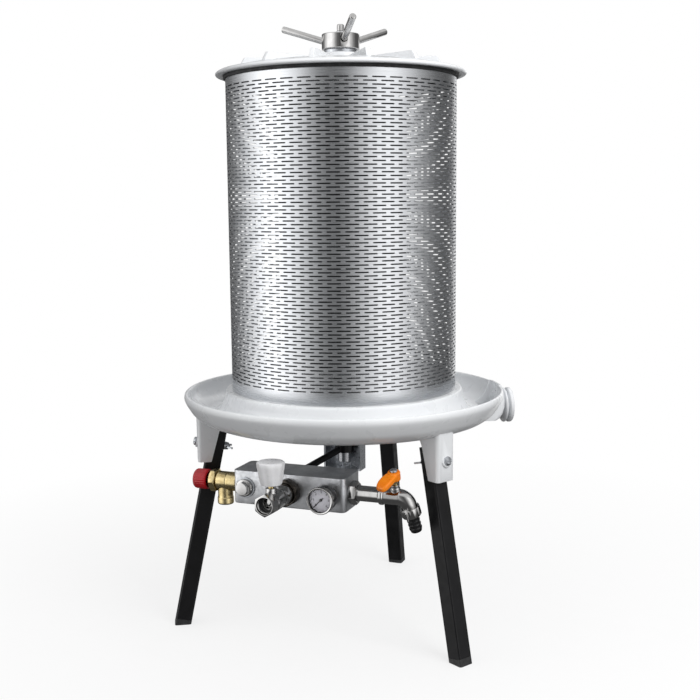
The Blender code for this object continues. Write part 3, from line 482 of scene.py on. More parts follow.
def brass():
    """Turned brass, tarnished in places."""
    look = Look("brass", (0.66, 0.54, 0.29), 0.22, 1.0)
    look.tint(look.grain(7), (0.44, 0.34, 0.16), 0.45, 0.7)
    look.feed(look.spread(look.grain(1.0, (6, 1, 1)), 0.16, 0.34), "Roughness")
    look.bump(look.grain(0.4, (1, 8, 8)), 0.006)
    return look.material


def dark_bronze():
    look = Look("dark_bronze", (0.07, 0.062, 0.055), 0.30, 1.0)
    look.tint(look.grain(5), (0.14, 0.125, 0.11), 0.5, 0.7)
    look.feed(look.spread(look.grain(2), 0.2, 0.45), "Roughness")
    look.bump(look.grain(1.2), 0.03)
    return look.material


def moulded(name, colour, other, roughness=0.32, grain=0.6):
    """Moulded plastic: faint spark-eroded grain and slight colour drift."""
    look = Look(name, colour, roughness)
    look.tint(look.grain(15), other)
    look.feed(look.spread(look.grain(5), roughness - 0.06, roughness + 0.08), "Roughness")
    look.bump(look.grain(grain), 0.010)
    return look.material


def clear_plastic():
    look = Look("clear_plastic", (1.0, 1.0, 1.0), 0.03)
    look.set("Transmission Weight", 1.0)
    look.set("IOR", 1.2)
    look.feed(look.spread(look.grain(8), 0.01, 0.06), "Roughness")
    return look.material


LOOKS = {
    "cast_white": cast_white(),
    "black_paint": black_paint(),
    "black_rubber": black_rubber(),
    "stainless": stainless(),
    "zinc": zinc(),
    "chrome": chrome(),
    "cast_aluminium": cast_aluminium(),
    "brass": brass(),
    "dark_bronze": dark_bronze(),
    "red_plastic": moulded("red_plastic", (0.52, 0.003, 0.012), (0.44, 0.003, 0.010)),
    "orange_plastic": moulded("orange_plastic", (0.98, 0.27, 0.008), (0.90, 0.21, 0.006)),
    "white_plastic": moulded("white_plastic", (0.84, 0.84, 0.85), (0.79, 0.79, 0.81)),
    "black_plastic": moulded("black_plastic", (0.008, 0.008, 0.009), (0.014, 0.014, 0.015), 0.18),
    "dial_white": moulded("dial_white", (0.62, 0.61, 0.66), (0.56, 0.55, 0.60), 0.5),
    "clear_plastic": clear_plastic(),
}


def paint_frame():
    """Gives every CAD node its slot's material, and rounds its hard edges a little."""
    for node, item in frame["nodes"].items():
        look = LOOKS[SLOT_OF[node]]
        item.data.materials.clear()
        item.data.materials.append(look)
        weld = item.modifiers.new("weld", "WELD")
        weld.merge_threshold = 0.01 * MM
        edge = item.modifiers.new("edge", "BEVEL")
        edge.width = 0.3 * MM
        edge.segments = 2
        edge.limit_method = "ANGLE"
        edge.angle_limit = radians(40)


# ---------------------------------------------------------------- basket and bladder

SLOTS_AROUND = 42
SLOT_LENGTH = 20.0
SLOT_HEIGHT = 2.0
ROW_PITCH = 5.15
ROWS = 86
FIRST_ROW = 20.1            # above the bottom edge of the sheet
SHEET = 1.5


def slot_outline(pitch):
    """Half a slot's outline, left to right, as (distance along the cell, height)."""
    left, right = (pitch - SLOT_LENGTH) / 2, (pitch + SLOT_LENGTH) / 2
    r = SLOT_HEIGHT / 2
    return [
        (left, 0), (left + 0.3 * r, 0.72 * r), (left + r, r), (pitch / 2, r),
        (right - r, r), (right - 0.3 * r, 0.72 * r), (right, 0),
    ]


class Sheet:
    """Points of a sheet that is rolled into a cylinder, each with an outer and an inner copy."""

    def __init__(self, radius, pitch):
        self.radius = radius
        self.girth = pitch * SLOTS_AROUND
        self.points = []
        self.index = {}

    def at(self, along, height):
        key = (round(along % self.girth, 4) % round(self.girth, 4), round(height, 4))
        if key not in self.index:
            self.index[key] = len(self.points)
            angle = key[0] / self.girth * 2 * pi
            for r in (self.radius, self.radius - SHEET):
                self.points.append((r * cos(angle), r * sin(angle), height))
        return self.index[key]


def add_slot_cell(sheet, faces, start, row, pitch):
    """One cell of the brick pattern: the sheet around one slot, and the slot's walls."""
    half = ROW_PITCH / 2
    edge = slot_outline(pitch)
    for side in (1, -1):
        hole = [sheet.at(start + u, row + side * v) for u, v in edge]
        rim = [sheet.at(start + pitch * k / 4, row + side * half) for k in range(5)]
        left, right = sheet.at(start, row), sheet.at(start + pitch, row)
        quads = [
            (left, hole[0], hole[1], rim[0]), (rim[0], hole[1], hole[2], rim[1]),
            (rim[1], hole[2], hole[3], rim[2]), (rim[2], hole[3], hole[4], rim[3]),
            (rim[3], hole[4], hole[5], rim[4]), (rim[4], hole[5], hole[6], right),
        ]
        for quad in quads:
            quad = quad if side == 1 else quad[::-1]
            faces["outer"].append(quad)
            faces["inner"].append([i + 1 for i in quad[::-1]])
        for a, b in zip(hole, hole[1:]):
            wall = (a, b, b + 1, a + 1)
            faces["wall"].append(wall if side == 1 else wall[::-1])


def add_plain_band(sheet, faces, low, high, pitch, low_edge, high_edge):
    """The unpunched sheet below or above the slots, with its cut edge."""
    for k in range(SLOTS_AROUND * 4):
        u, v = pitch * k / 4, pitch * (k + 1) / 4
        a, b, c, d = sheet.at(u, low), sheet.at(v, low), sheet.at(v, high), sheet.at(u, high)
        faces["outer"].append((a, b, c, d))
        faces["inner"].append((d + 1, c + 1, b + 1, a + 1))
        if low_edge:
            faces["wall"].append((a + 1, b + 1, b, a))
        if high_edge:
            faces["wall"].append((d, c, c + 1, d + 1))


def build_basket():
    """Slotted sheet, with slots that go right through it."""
    low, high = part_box("basket")
    radius = (high.x - low.x) / 2 / MM
    bottom, top = low.z / MM, high.z / MM
    pitch = 2 * pi * radius / SLOTS_AROUND
    sheet = Sheet(radius, pitch)
    faces = {"outer": [], "inner": [], "wall": []}
    rows = [bottom + FIRST_ROW + ROW_PITCH * k for k in range(ROWS)]
    add_plain_band(sheet, faces, bottom, rows[0] - ROW_PITCH / 2, pitch, True, False)
    for k, row in enumerate(rows):
        for i in range(SLOTS_AROUND):
            add_slot_cell(sheet, faces, (i + k % 2 / 2) * pitch, row, pitch)
    add_plain_band(sheet, faces, rows[-1] + ROW_PITCH / 2, top, pitch, False, True)
    mesh = bpy.data.meshes.new("slotted_basket")
    order = faces["outer"] + faces["inner"] + faces["wall"]
    mesh.from_pydata([tuple(PRESS @ Vector(p)) for p in sheet.points], [], order)
    basket = bpy.data.objects.new("slotted_basket", mesh)
    bpy.context.scene.collection.objects.link(basket)
    show(basket, "slotted_basket", "stainless", "basket", "basket")
    set_sheet_normals(mesh, len(faces["outer"]), len(faces["inner"]))


def set_sheet_normals(mesh, outer, inner):
    """Makes the rolled faces reflect as a true cylinder, whatever their outlines."""
    starts = np.zeros(len(mesh.polygons), np.int32)
    mesh.polygons.foreach_get("loop_start", starts)
    corner = np.zeros(len(mesh.loops), np.int32)
    mesh.loops.foreach_get("vertex_index", corner)
    spots = np.zeros(len(mesh.vertices) * 3)
    mesh.vertices.foreach_get("co", spots)
    spots = spots.reshape(-1, 3) - np.array(AXIS)
    spots[:, 2] = 0
    spots /= np.linalg.norm(spots, axis=1)[:, None]
    flat = np.zeros(len(mesh.polygons) * 3)
    mesh.polygons.foreach_get("normal", flat)
    face_of = np.repeat(np.arange(len(starts)), np.diff(np.append(starts, len(corner))))
    normals = flat.reshape(-1, 3)[face_of]
    normals[face_of < outer] = spots[corner[face_of < outer]]
    inside = (face_of >= outer) & (face_of < outer + inner)
    normals[inside] = -spots[corner[inside]]
    mesh.normals_split_custom_set(normals.tolist())


def build_bladder():
    """Thick rubber sleeve, resting: shallow folds that fade towards the clamped necks."""
    low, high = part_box("bladder")
    bottom, top = low.z / MM, high.z / MM
    full = (high.x - low.x) / 2 / MM
    rise = [(15.3, 0), (15.3, 15), (19, 17.5), (45, 18.4), (78, 19.4), (90, 22.5), (97, 29), (full, 42)]
    sides = [(full, 42 + (top - bottom - 84) * k / 16) for k in range(1, 16)]
    outline = rise + sides + [(r, top - bottom - z) for r, z in rise[::-1]]
    loops = []
    count = 120
    for r, z in outline:
        share = max(0.0, min(1.0, (r - 20) / 60))
        loop = []
        for i in range(count):
            angle = 2 * pi * i / count
            fold = 0.5 - 0.5 * cos(6 * angle + 0.8 * sin(z / 90))
            ripple = 0.4 * sin(17 * angle + z / 23) * sin(z / 41)
            radius = r - share * (3.2 * fold ** 3 + 0.5 + ripple)
            loop.append((radius * cos(angle), radius * sin(angle), bottom + z))
        loops.append(loop)
    show(lofted(loops, PRESS), "rubber_bladder", "black_rubber", "stand", "bladder", sharp=60)


# ---------------------------------------------------------------- tray

CHANNEL_TOP = 368.0
CHANNEL_LOW = 322.0
FLOOR_FALL = 0.004
SPOUT_Z = 331.0
SOCKET_WALL = 232.0         # outer face of a leg's socket, from the axis
SOCKET_HALF = 16.5
SOCKET_CORNER = 6.5


def channel_drop(x, y, z):
    """How far the juice channel falls at a point of the tray, in millimetres."""
    depth = min(max((CHANNEL_TOP - z) / (CHANNEL_TOP - CHANNEL_LOW), 0), 1)
    inside = min(max((hypot(x, y) - 180) / 12, 0), 1)
    return FLOOR_FALL * depth * inside * heading(SPOUT_AZIMUTH).dot(Vector((x, y, 0)))


def tray_bowl():
    profile = softened([
        (10.8, 371.5), (183, 371.5), (185, 370), (187, 356), (195, 341),
        (208, 332.5), (221, 333.5), (234, 342.5), (242, 355), (244, 366),
        (246, 368), (249, 366.5), (250, 360), (247, 353), (238, 338),
        (225, 328), (207, 322), (194, 325), (183, 341), (179, 365.5),
        (26, 365.5), (26, 350), (10.8, 350),
    ], 5.0, 3)
    bowl = turned(profile, PRESS, 180)
    for vertex in bowl.data.vertices:
        x, y, z = (vertex.co - AXIS) / MM
        vertex.co.z -= channel_drop(x, y, z) * MM
    return bowl


def socket(side):
    """A channel under the tray, open to the inside, that holds the top of one leg."""
    flat = heading({"left": -60, "right": 60, "rear": 180}[side])
    drop = FLOOR_FALL * heading(SPOUT_AZIMUTH).dot(flat) * 210
    place = local(AXIS, (0, 0, 1), flat)
    foot = [(SOCKET_WALL, 262), (SOCKET_WALL - 21, 262), (SOCKET_WALL - 34, 309)]
    root = [(188, 330.5), (195, 328.5), (205, 327.5), (214, 329), (225, 333), (SOCKET_WALL, 337)]
    outline = softened(foot, 0.8, 1) + [(r, z - drop) for r, z in root]
    steps = []
    for k in range(9):
        angle = pi / 2 * k / 8
        y = SOCKET_HALF - SOCKET_CORNER * (1 - cos(angle))
        steps.append((y, SOCKET_WALL - SOCKET_CORNER * (1 - sin(angle))))
    steps = [(-y, reach) for y, reach in steps] + steps[::-1]
    holder = lofted([[(min(r, reach), y, z) for r, z in outline] for y, reach in steps], place)
    bevel(holder, 1.2, 50, 3)
    joint = JOINTS[f"wing_nut_{side}_spin"]
    bolt = local(joint["pos_m"], -Vector(joint["axis"]))
    boss = turned(softened([(0, 30), (9, 30), (9, 43.8), (0, 43.8)], 1.2), bolt, 48)
    fuse(holder, boss)
    pocket = [(150, 250), (225, 250), (225, 345), (150, 345)]
    cut(holder, lofted([[(r, y, z) for r, z in pocket] for y in (-12.8, 12.8)], place))
    cut(holder, turned([(0, 30), (3.3, 30), (3.3, 60), (0, 60)], bolt, 32))
    return holder


def spout_parts():
    """The housing, nozzle, chute and bore of the spout; the housing keeps clear of the channel."""
    place = local(AXIS, (0, 0, 1), heading(SPOUT_AZIMUTH))
    inner = 208
    loops = []
    for z, outer in (
        (311, 244), (314, 249), (320, 253), (331, 256.5), (342, 257), (360, 254), (366, 251.5),
        (367.8, 250),
    ):
        half = (outer - inner) / 2
        outline = rounded_box(half, 30, 10, 6, (inner + half, 0))
        loops.append([(x, y, z) for x, y in outline])
    housing = lofted(loops, place)
    cut(housing, turned([
        (0, 330), (209, 330), (222, 331), (235.5, 341), (243.5, 354.5), (246, 366), (246, 400),
        (0, 400),
    ], PRESS, 180))
    chute = extruded(rounded_box(14.5, 25, 8, 6, (232.5, 0)), 319.5, 390, place)
    axis = local(AXIS + Vector((0, 0, SPOUT_Z * MM)), heading(SPOUT_AZIMUTH), (0, 0, 1))
    nozzle = turned(softened([
        (0, 245), (25, 245), (20.5, 251), (18.6, 255), (20, 257.5), (27, 258.6), (28, 260),
        (27.4, 261.8), (21, 262.3), (20.6, 263.6), (21, 265), (27, 265.6), (28, 267),
        (28, 270.5), (27.2, 272), (0, 272),
    ], 0.6), axis, 96)
    bore = turned([(0, 240), (13, 240), (13, 269), (14.5, 280), (0, 280)], axis, 64)
    return housing, nozzle, chute, bore


def build_tray():
    tray = tray_bowl()
    fuse(tray, *[socket(side) for side in ("left", "right", "rear")])
    housing, nozzle, chute, bore = spout_parts()
    fuse(tray, housing)
    cut(tray, chute)
    fuse(tray, nozzle)
    cut(tray, bore)
    show(tray, "cast_tray", "cast_white", "stand", "tray", sharp=42)


# ---------------------------------------------------------------- lid and star nut

RIBS = 12
FIRST_RIB = 5.9             # degrees from the front


def build_lid():
    profile = softened([
        (10.8, 881), (33, 881), (35.5, 866), (37.5, 859.5), (44, 857), (149, 857), (155, 860),
        (185, 854), (190.3, 850.5), (189, 847), (181, 847), (181, 848), (168, 848),
        (165, 851), (24, 851), (10.8, 855),
    ], 2.2, 4)
    lid = turned(profile, PRESS, 180)
    side = softened([(29, 852.5), (153, 852.5), (154.5, 861), (147.5, 872.5), (29, 872.5)], 2.0, 3)
    for i in range(RIBS):
        place = local(AXIS, (0, 0, 1), heading(FIRST_RIB + i * 360 / RIBS))
        loops = [[(r, y, z) for r, z in side] for y in (-3.75, 3.75)]
        fuse(lid, bevel(lofted(loops, place), 1.1, 60, 2))
    show(lid, "ribbed_lid", "cast_white", "lid", "lid", sharp=42)
    seal = softened([
        (175.3, 842.6), (178, 842.6), (178.6, 847.7), (170.2, 847.7), (170.2, 844.3), (175.3, 844.3),
    ], 0.8)
    show(turned(seal, PRESS, 180), "lid_seal", "black_rubber", "lid", "lid_gasket")


ARM_AZIMUTHS = (32.4, 152.4, -87.6)
ARM_ROOT = (22.0, 899.0)
ARM_TIP = (93.8, 922.1)


def build_star_nut():
    hub = turned(softened([
        (8.3, 886.8), (28.5, 886.8), (28.5, 910), (8.3, 910),
    ], 1.8, 4), PRESS, 128)
    lean = atan((ARM_TIP[1] - ARM_ROOT[1]) / (ARM_TIP[0] - ARM_ROOT[0]))
    length = hypot(ARM_TIP[0] - ARM_ROOT[0], ARM_TIP[1] - ARM_ROOT[1])
    for i, azimuth in enumerate(ARM_AZIMUTHS, 1):
        out = heading(azimuth)
        root = AXIS + (out * ARM_ROOT[0] + Vector((0, 0, ARM_ROOT[1]))) * MM
        along = out * cos(lean) + Vector((0, 0, sin(lean)))
        place = local(root, along)
        cut(hub, turned([(0, -0.3), (5.6, -0.3), (5.6, 20), (0, 20)], place, 48))
        rod = softened([(0, 0), (5, 0), (5, length), (0, length)], 2.2, 5)
        show(turned(rod, place, 48), f"star_nut_rod_{i}", "chrome", "star_nut", f"star_nut_arm_{i}")
    show(bevel(hub, 0.4, 50), "star_nut_body", "chrome", "star_nut", "star_nut_hub")
    washer = softened([(8.4, 881.3), (25, 881.3), (25, 886.5), (8.4, 886.5)], 0.6)
    show(turned(washer, PRESS, 96), "pressure_washer", "zinc", "thrust_washer", "thrust_washer")


def build_spindle():
    """Pipe with a collar at the seat and a coarse thread at the top."""
    rod = turned(softened([
        (0, 250), (10.3, 250), (10.3, 373.8), (22, 373.8), (22, 379), (10.3, 379),
        (10.3, 850), (7, 853), (7, 860), (0, 860),
    ], 0.8), PRESS, 64)
    fuse(rod, threaded(8, 1.1, 4, 852, 913, PRESS))
    crown = turned(softened([(0, 912), (7, 912), (6.6, 914), (0, 914)], 0.4), PRESS, 40)
    fuse(rod, crown)
    cut(rod, turned([(0, 903), (3, 903), (3, 920), (0, 920)], PRESS, 32))
    show(rod, "spindle_pipe", "stainless", "stand", "spindle")
    head = lobed([
        (914.3, 4.6, 0), (914.8, 5.5, 0.4), (922.8, 5.5, 0.4), (924.5, 4.2, 0),
    ], 14, 84, PRESS)
    shank = threaded(2.7, 0.3, 0.8, 904, 914.5, PRESS, 24)
    show(fuse(head, shank), "bleed_knob", "chrome", "bleed_screw", "bleed_screw")


# ---------------------------------------------------------------- manifold

def build_block():
    """Cast block with rounded corners; its top edge is softened by fettling."""
    low, high = BLOCK_LOW / MM, BLOCK_HIGH / MM
    centre, half = (low + high) / 2, (high - low) / 2
    loops = []
    for z, inset in (
        (low.z, 1.8), (low.z + 0.5, 0.6), (low.z + 1.8, 0),
        (high.z - 1.4, 0), (high.z - 0.4, 0.4), (high.z, 1.4),
    ):
        outline = rounded_box(half.x - inset, half.y - inset, 8 - inset, 8, (centre.x, centre.y))
        loops.append([(x, y, z) for x, y in outline])
    block = lofted(loops, Matrix.Scale(MM, 4))
    show(block, "manifold_casting", "cast_aluminium", "stand", "manifold_block")


def build_plug():
    ring = softened([(11.2, 0.3), (17, 0.3), (17, 2.2), (11.2, 2.2)], 0.6)
    show(turned(ring, PLUG, 72), "plug_ring", "zinc", "stand", "plug_washer")
    plug = turned(softened([
        (0, -13), (10.5, -13), (10.5, 2.5), (14.5, 2.5), (14.5, 6), (12.5, 7.5), (0, 7.5),
    ], 0.7), PLUG, 72)
    fuse(plug, hex_nut(20, 6, 15, PLUG))
    show(bevel(plug, 0.35, 25), "hex_plug", "chrome", "stand", "blanking_plug")


def build_relief_valve():
    body = turned(softened([
        (0, -14), (10.5, -14), (10.5, 0.3), (13, 0.3), (15.5, 3), (15.5, 20), (14.9, 21),
        (15.5, 22), (15.5, 38), (14, 40), (0, 40),
    ], 0.9), RELIEF, 72)
    outlet = RELIEF_OUTLET
    fuse(body, turned(softened([
        (0, 3), (12.5, 3), (12.5, 26), (13.4, 27), (13.4, 36), (12.4, 38), (0, 38),
    ], 0.8), outlet, 72))
    cut(body, turned([(0, 6), (9, 6), (9, 36), (10.5, 45), (0, 45)], outlet, 48))
    show(bevel(body, 0.3, 50), "relief_body", "brass", "stand", "relief_valve_body")
    bonnet = hex_nut(34, 40.3, 51, RELIEF)
    fuse(bonnet, turned(softened([
        (0, 46), (15.6, 46), (15.6, 51.5), (11, 56), (9, 62), (0, 62),
    ], 0.8), RELIEF, 64))
    cut(bonnet, turned([(0, 56), (3.2, 56), (3.2, 70), (0, 70)], RELIEF, 32))
    show(bevel(bonnet, 0.3, 25), "relief_bonnet", "brass", "stand", "relief_valve_bonnet")
    cap = lobed([
        (57, 15.6, 0), (58, 16.4, 0.5), (60, 16.5, 0.6), (77, 16.5, 0.6), (79.2, 15.9, 0.3),
        (80.6, 14.6, 0), (81, 12.5, 0),
    ], 28, 168, RELIEF)
    cut(cap, turned([(0, 50), (13.2, 50), (13.2, 71), (0, 71)], RELIEF, 64))
    show(cap, "relief_twist_cap", "red_plastic", "relief_cap", "relief_valve_cap")


def build_inlet():
    nut = hex_nut(40, 0.3, 16, INLET, 17.2, 21.5)
    show(bevel(nut, 0.5, 25), "inlet_coupling_nut", "dark_bronze", "stand", "inlet_union_nut")
    body = turned(softened([
        (0, -13), (10.5, -13), (10.5, 0.5), (15, 0.5), (16.4, 1.5), (16.4, 30), (15.2, 33),
        (15.2, 40), (16.5, 46), (16.5, 66), (15, 72), (13, 75), (0, 75),
    ], 3.0, 4), INLET, 96)
    fuse(body, turned(softened([(0, 6), (10, 6), (8.5, 17), (8.5, 22), (0, 22)], 1.0), INLET_STEM, 64))
    end = hex_nut(31, 72, 90, INLET, 0, None, pi / 2)
    fuse(body, end)
    bore = [(0, 60), (8, 60), (8, 76), (12, 77)]
    for k in range(4):
        z = 78.5 + 2.2 * k
        bore += [(12, z), (13.2, z + 0.8), (12, z + 1.6)]
    bore += [(12.4, 87.2), (13.6, 91), (0, 91)]
    cut(body, turned(bore, INLET, 64))
    show(bevel(body, 0.4, 35), "inlet_ball_valve", "chrome", "stand", "inlet_valve_body")
    seal = softened([(8.2, 76.4), (11.8, 77.4), (11.8, 84), (11, 84), (11, 79.4), (8.2, 79.4)], 0.4)
    show(turned(seal, INLET, 64), "inlet_hose_seal", "black_rubber", "stand")
    build_knob()


def build_knob():
    """White fluted knob that widens upwards, with a dished top."""
    knob = lobed([
        (27.5, 14.8, 0.1), (28, 16.2, 0.5), (30, 17.2, 1.1), (42, 19.2, 1.4), (55, 21.4, 1.5),
        (60, 22.1, 1.2), (62.2, 21.2, 0.7), (63, 19.4, 0.3), (63, 14, 0), (62.6, 11, 0),
    ], 8, 120, INLET_STEM, 1.6)
    cut(knob, turned([(0, 10), (4.6, 10), (4.6, 56.4), (0, 56.4)], INLET_STEM, 32))
    show(knob, "inlet_fluted_knob", "white_plastic", "inlet_spindle", "inlet_knob")


def build_gauge():
    """Round gauge: case, bright bezel, dial with a generic scale and a clear lens."""
    stem = turned([(0, -12), (6.4, -12), (6.4, 1), (5, 1.5), (5, 13), (0, 13)], GAUGE, 48)
    fuse(stem, hex_nut(14, 0.4, 9, GAUGE))
    show(stem, "gauge_stem", "brass", "stand", "gauge_socket")
    case = softened([
        (5.3, 10), (17, 10), (20.5, 13), (20.5, 34), (19.3, 34), (19.3, 14), (16.5, 11.5), (5.3, 11.5),
    ], 1.4)
    show(turned(case, GAUGE, 96), "gauge_shell", "black_plastic", "stand", "gauge_case")
    bezel = softened([
        (20.8, 29), (21.7, 29.5), (21.7, 36.8), (20.6, 38.5), (18.4, 38), (18.4, 37.4), (20.8, 37.2),
    ], 0.5)
    show(turned(bezel, GAUGE, 96), "gauge_ring", "chrome", "stand", "gauge_bezel")
    lens = turned([(0, 34.4), (20.4, 34.4), (20.4, 36.4), (14, 36.8), (0, 37)], GAUGE, 64)
    show(lens, "gauge_window", "clear_plastic", "stand", "gauge_lens")
    dial = turned(softened([(1.2, 28.6), (19, 28.6), (19, 29.6), (1.2, 29.6)], 0.2), GAUGE, 96)
    show(dial, "gauge_face", "dial_white", "stand", "gauge_dial")
    build_scale()


def build_scale():
    """Tick marks round the dial and the numbers of a generic scale."""
    marks = None
    for k in range(31):
        angle = radians(225 - 9 * k)
        major = k % 5 == 0
        inner, half = (14.6, 0.45) if major else (16.4, 0.25)
        out, side = Vector((cos(angle), sin(angle))), Vector((-sin(angle), cos(angle)))
        corners = [out * r + side * s for r, s in (
            (inner, -half), (18.2, -half), (18.2, half), (inner, half),
        )]
        tick = extruded([tuple(c) for c in corners], 29.55, 29.8, GAUGE)
        marks = fuse(marks, tick) if marks else tick
    show(marks, "gauge_marks", "black_plastic", "stand")
    for k in range(7):
        angle = radians(225 - 45 * k)
        curve = bpy.data.curves.new("digit", "FONT")
        curve.body = str(k)
        curve.size = 5.2
        curve.extrude = 0.1
        curve.align_x = "CENTER"
        curve.align_y = "CENTER"
        digit = bpy.data.objects.new("digit", curve)
        bpy.context.scene.collection.objects.link(digit)
        shift = Matrix.Translation((12.2 * cos(angle), 12.2 * sin(angle), 29.75))
        mesh = bpy.data.meshes.new_from_object(digit)
        mesh.transform(GAUGE @ shift)
        bpy.data.objects.remove(digit)
        number = bpy.data.objects.new("number", mesh)
        bpy.context.scene.collection.objects.link(number)
        show(number, f"gauge_number_{k}", "black_plastic", "stand")


# ---------------------------------------------------------------- tap

BEND_AT = 80
BEND_R = 15
BEND = radians(79)


def tap_path():
    path = [Vector((BEND_AT - 2, 0, 0))]
    steps = 16
    for i in range(steps + 1):
        angle = BEND * i / steps
        path.append(Vector((BEND_AT + BEND_R * sin(angle), 0, -BEND_R * (1 - cos(angle)))))
    path.append(path[-1] + Vector((cos(BEND), 0, -sin(BEND))) * 11)
    return path


def build_tap():
    show(bevel(hex_nut(33, 0.3, 13, TAP, 13.3), 0.4, 25), "tap_hex_nut", "chrome", "stand", "tap_lock_nut")
    body = turned(softened([
        (0, -14), (12.9, -14), (12.9, 14), (12.4, 15), (12.4, 48), (15, 49.5), (15, 55), (13, 57),
        (13, 83), (11, 84), (0, 84),
    ], 1.2, 4), TAP, 96)
    fuse(body, lofted(path_loops(tap_path(), 12.6, 64), TAP_PLANE))
    collar = [(0, 6), (8.4, 6), (8.0, 16), (7, 17), (7, 22), (0, 22)]
    fuse(body, turned(softened(collar, 0.8), TAP_STEM, 64))
    end = TAP_END
    cut(body, turned([(0, -3), (8, -3), (8, 9), (0, 9)], end, 48))
    show(bevel(body, 0.3, 40), "tap_casting", "chrome", "stand", "tap_body")
    union = lobed([
        (-7, 15.0, 0), (-6, 16.0, 0.8), (6.6, 16.0, 0.8), (8.3, 14.8, 0),
    ], 16, 128, end, 0.8)
    lug = extruded(rounded_box(5, 1.6, 1.2, 4, (-18.5, 0)), -7, 6, lug_frame(end))
    fuse(union, lug)
    cut(union, turned([(0, -9), (12.9, -9), (12.9, 3.6), (10.6, 3.6), (10.6, 10), (0, 10)], end, 64))
    show(bevel(union, 0.3, 50), "tap_ribbed_nut", "chrome", "tap_union", "tap_union_nut")
    tail = [(7, 0.3), (12.5, 0.3), (12.5, 3.2), (10.0, 3.4), (10.0, 9)]
    for k in range(4):
        z = 9 + 6.6 * k
        tail += [(10.4, z), (10.4, z + 1.2), (9.0, z + 6)]
    tail += [(8.6, 36), (7, 36)]
    show(turned(softened(tail, 0.4), end, 72), "hose_barb", "black_plastic", "stand", "tap_hose_tail")


def lug_frame(end):
    """The nut's frame turned so that its lug points the way its CAD solid's does."""
    low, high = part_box("tap_union_nut")
    back = end.inverted()
    centre = back @ ((low + high) / 2)
    return end @ Matrix.Rotation(atan2(centre.y, centre.x) + pi, 4, "Z")


def build_lever():
    """Orange wing lever, blended to its hub, and the screw cap on top."""
    lever = turned(softened([(0, 29.4), (10, 29.4), (10, 44), (0, 44)], 2.0), TAP_STEM, 48)
    loops = []
    for reach, half, low, high in (
        (0, 9.0, 33.5, 42.5), (10, 9.8, 32, 42.2), (18, 10.5, 30.5, 41), (26, 10.5, 28.5, 38.5),
        (32, 9.4, 27, 36), (35.5, 7.2, 26.2, 33.4), (36.6, 5.4, 27, 32),
    ):
        outline = rounded_box(half, (high - low) / 2, 2.6, 4, (0, (low + high) / 2))
        loops.append([(x, -reach, z) for x, z in outline])
    fuse(lever, lofted(loops, LEVER))
    remesh = lever.modifiers.new("remesh", "REMESH")
    remesh.mode = "VOXEL"
    remesh.voxel_size = 0.6 * MM
    blur = lever.modifiers.new("blur", "SMOOTH")
    blur.iterations = 6
    apply_modifiers(lever)
    cut(lever, turned([(0, 20), (3.6, 20), (3.6, 36.2), (0, 36.2)], TAP_STEM, 32))
    cut(lever, turned([(0, 30), (2.1, 30), (2.1, 60), (0, 60)], TAP_STEM, 32))
    show(lever, "tap_wing", "orange_plastic", "tap_handle", "tap_lever", sharp=60)
    cap = turned(softened([
        (0, 36.3), (1.8, 36.3), (1.8, 44.3), (6, 44.3), (5.6, 47), (3, 48.6), (0, 48.9),
    ], 0.6), TAP_STEM, 48)
    show(cap, "tap_wing_screw", "zinc", "tap_handle", "tap_lever_screw")


# ---------------------------------------------------------------- studio

CAMERA_FROM_AXIS = (0.6156, -1.5840, 0.6673)
CAMERA_TURN = 20.9          # degrees to the left of +Y
CAMERA_PITCH = 8.006
CAMERA_ROLL = -0.511

# Brightness of the studio by azimuth in degrees from -Y towards +X: two softboxes
# beside the camera, dark gaps between them and a pale wall behind the object
STUDIO = (
    (-180, 0.8), (-165, 0.3), (-145, 0.12), (-118, 0.12), (-98, 0.45), (-80, 1.2), (-62, 1.95),
    (-38, 1.95), (-22, 1.3), (-10, 0.6), (2, 0.22), (18, 0.12), (30, 0.35), (44, 0.95),
    (58, 1.65), (74, 1.65), (88, 0.95), (108, 0.4), (126, 0.15), (150, 0.12), (168, 0.35),
    (180, 0.8),
)
STUDIO_PEAK = 2.0
MIRRORED = (0.95, 0.09)     # brightness above and below, as polished parts reflect it
SOFT = (0.88, 0.17)         # the same as matt surfaces are lit by it
SIDES_SHARE = 0.60          # how much of the softboxes matt surfaces get
KEY_AT = (1.7, -0.9, 1.7)   # metres from the foot of the press
KEY_AIM = (0, 0, 0.5)


def add_camera():
    data = bpy.data.cameras.new("camera")
    data.lens = 56.15
    data.sensor_width = 36
    camera = bpy.data.objects.new("camera", data)
    bpy.context.scene.collection.objects.link(camera)
    turn = Matrix.Rotation(radians(CAMERA_TURN), 4, "Z")
    tip = Matrix.Rotation(radians(90 - CAMERA_PITCH), 4, "X")
    roll = Matrix.Rotation(radians(CAMERA_ROLL), 4, "Z")
    camera.matrix_world = Matrix.Translation(AXIS + Vector(CAMERA_FROM_AXIS)) @ turn @ tip @ roll
    bpy.context.scene.camera = camera


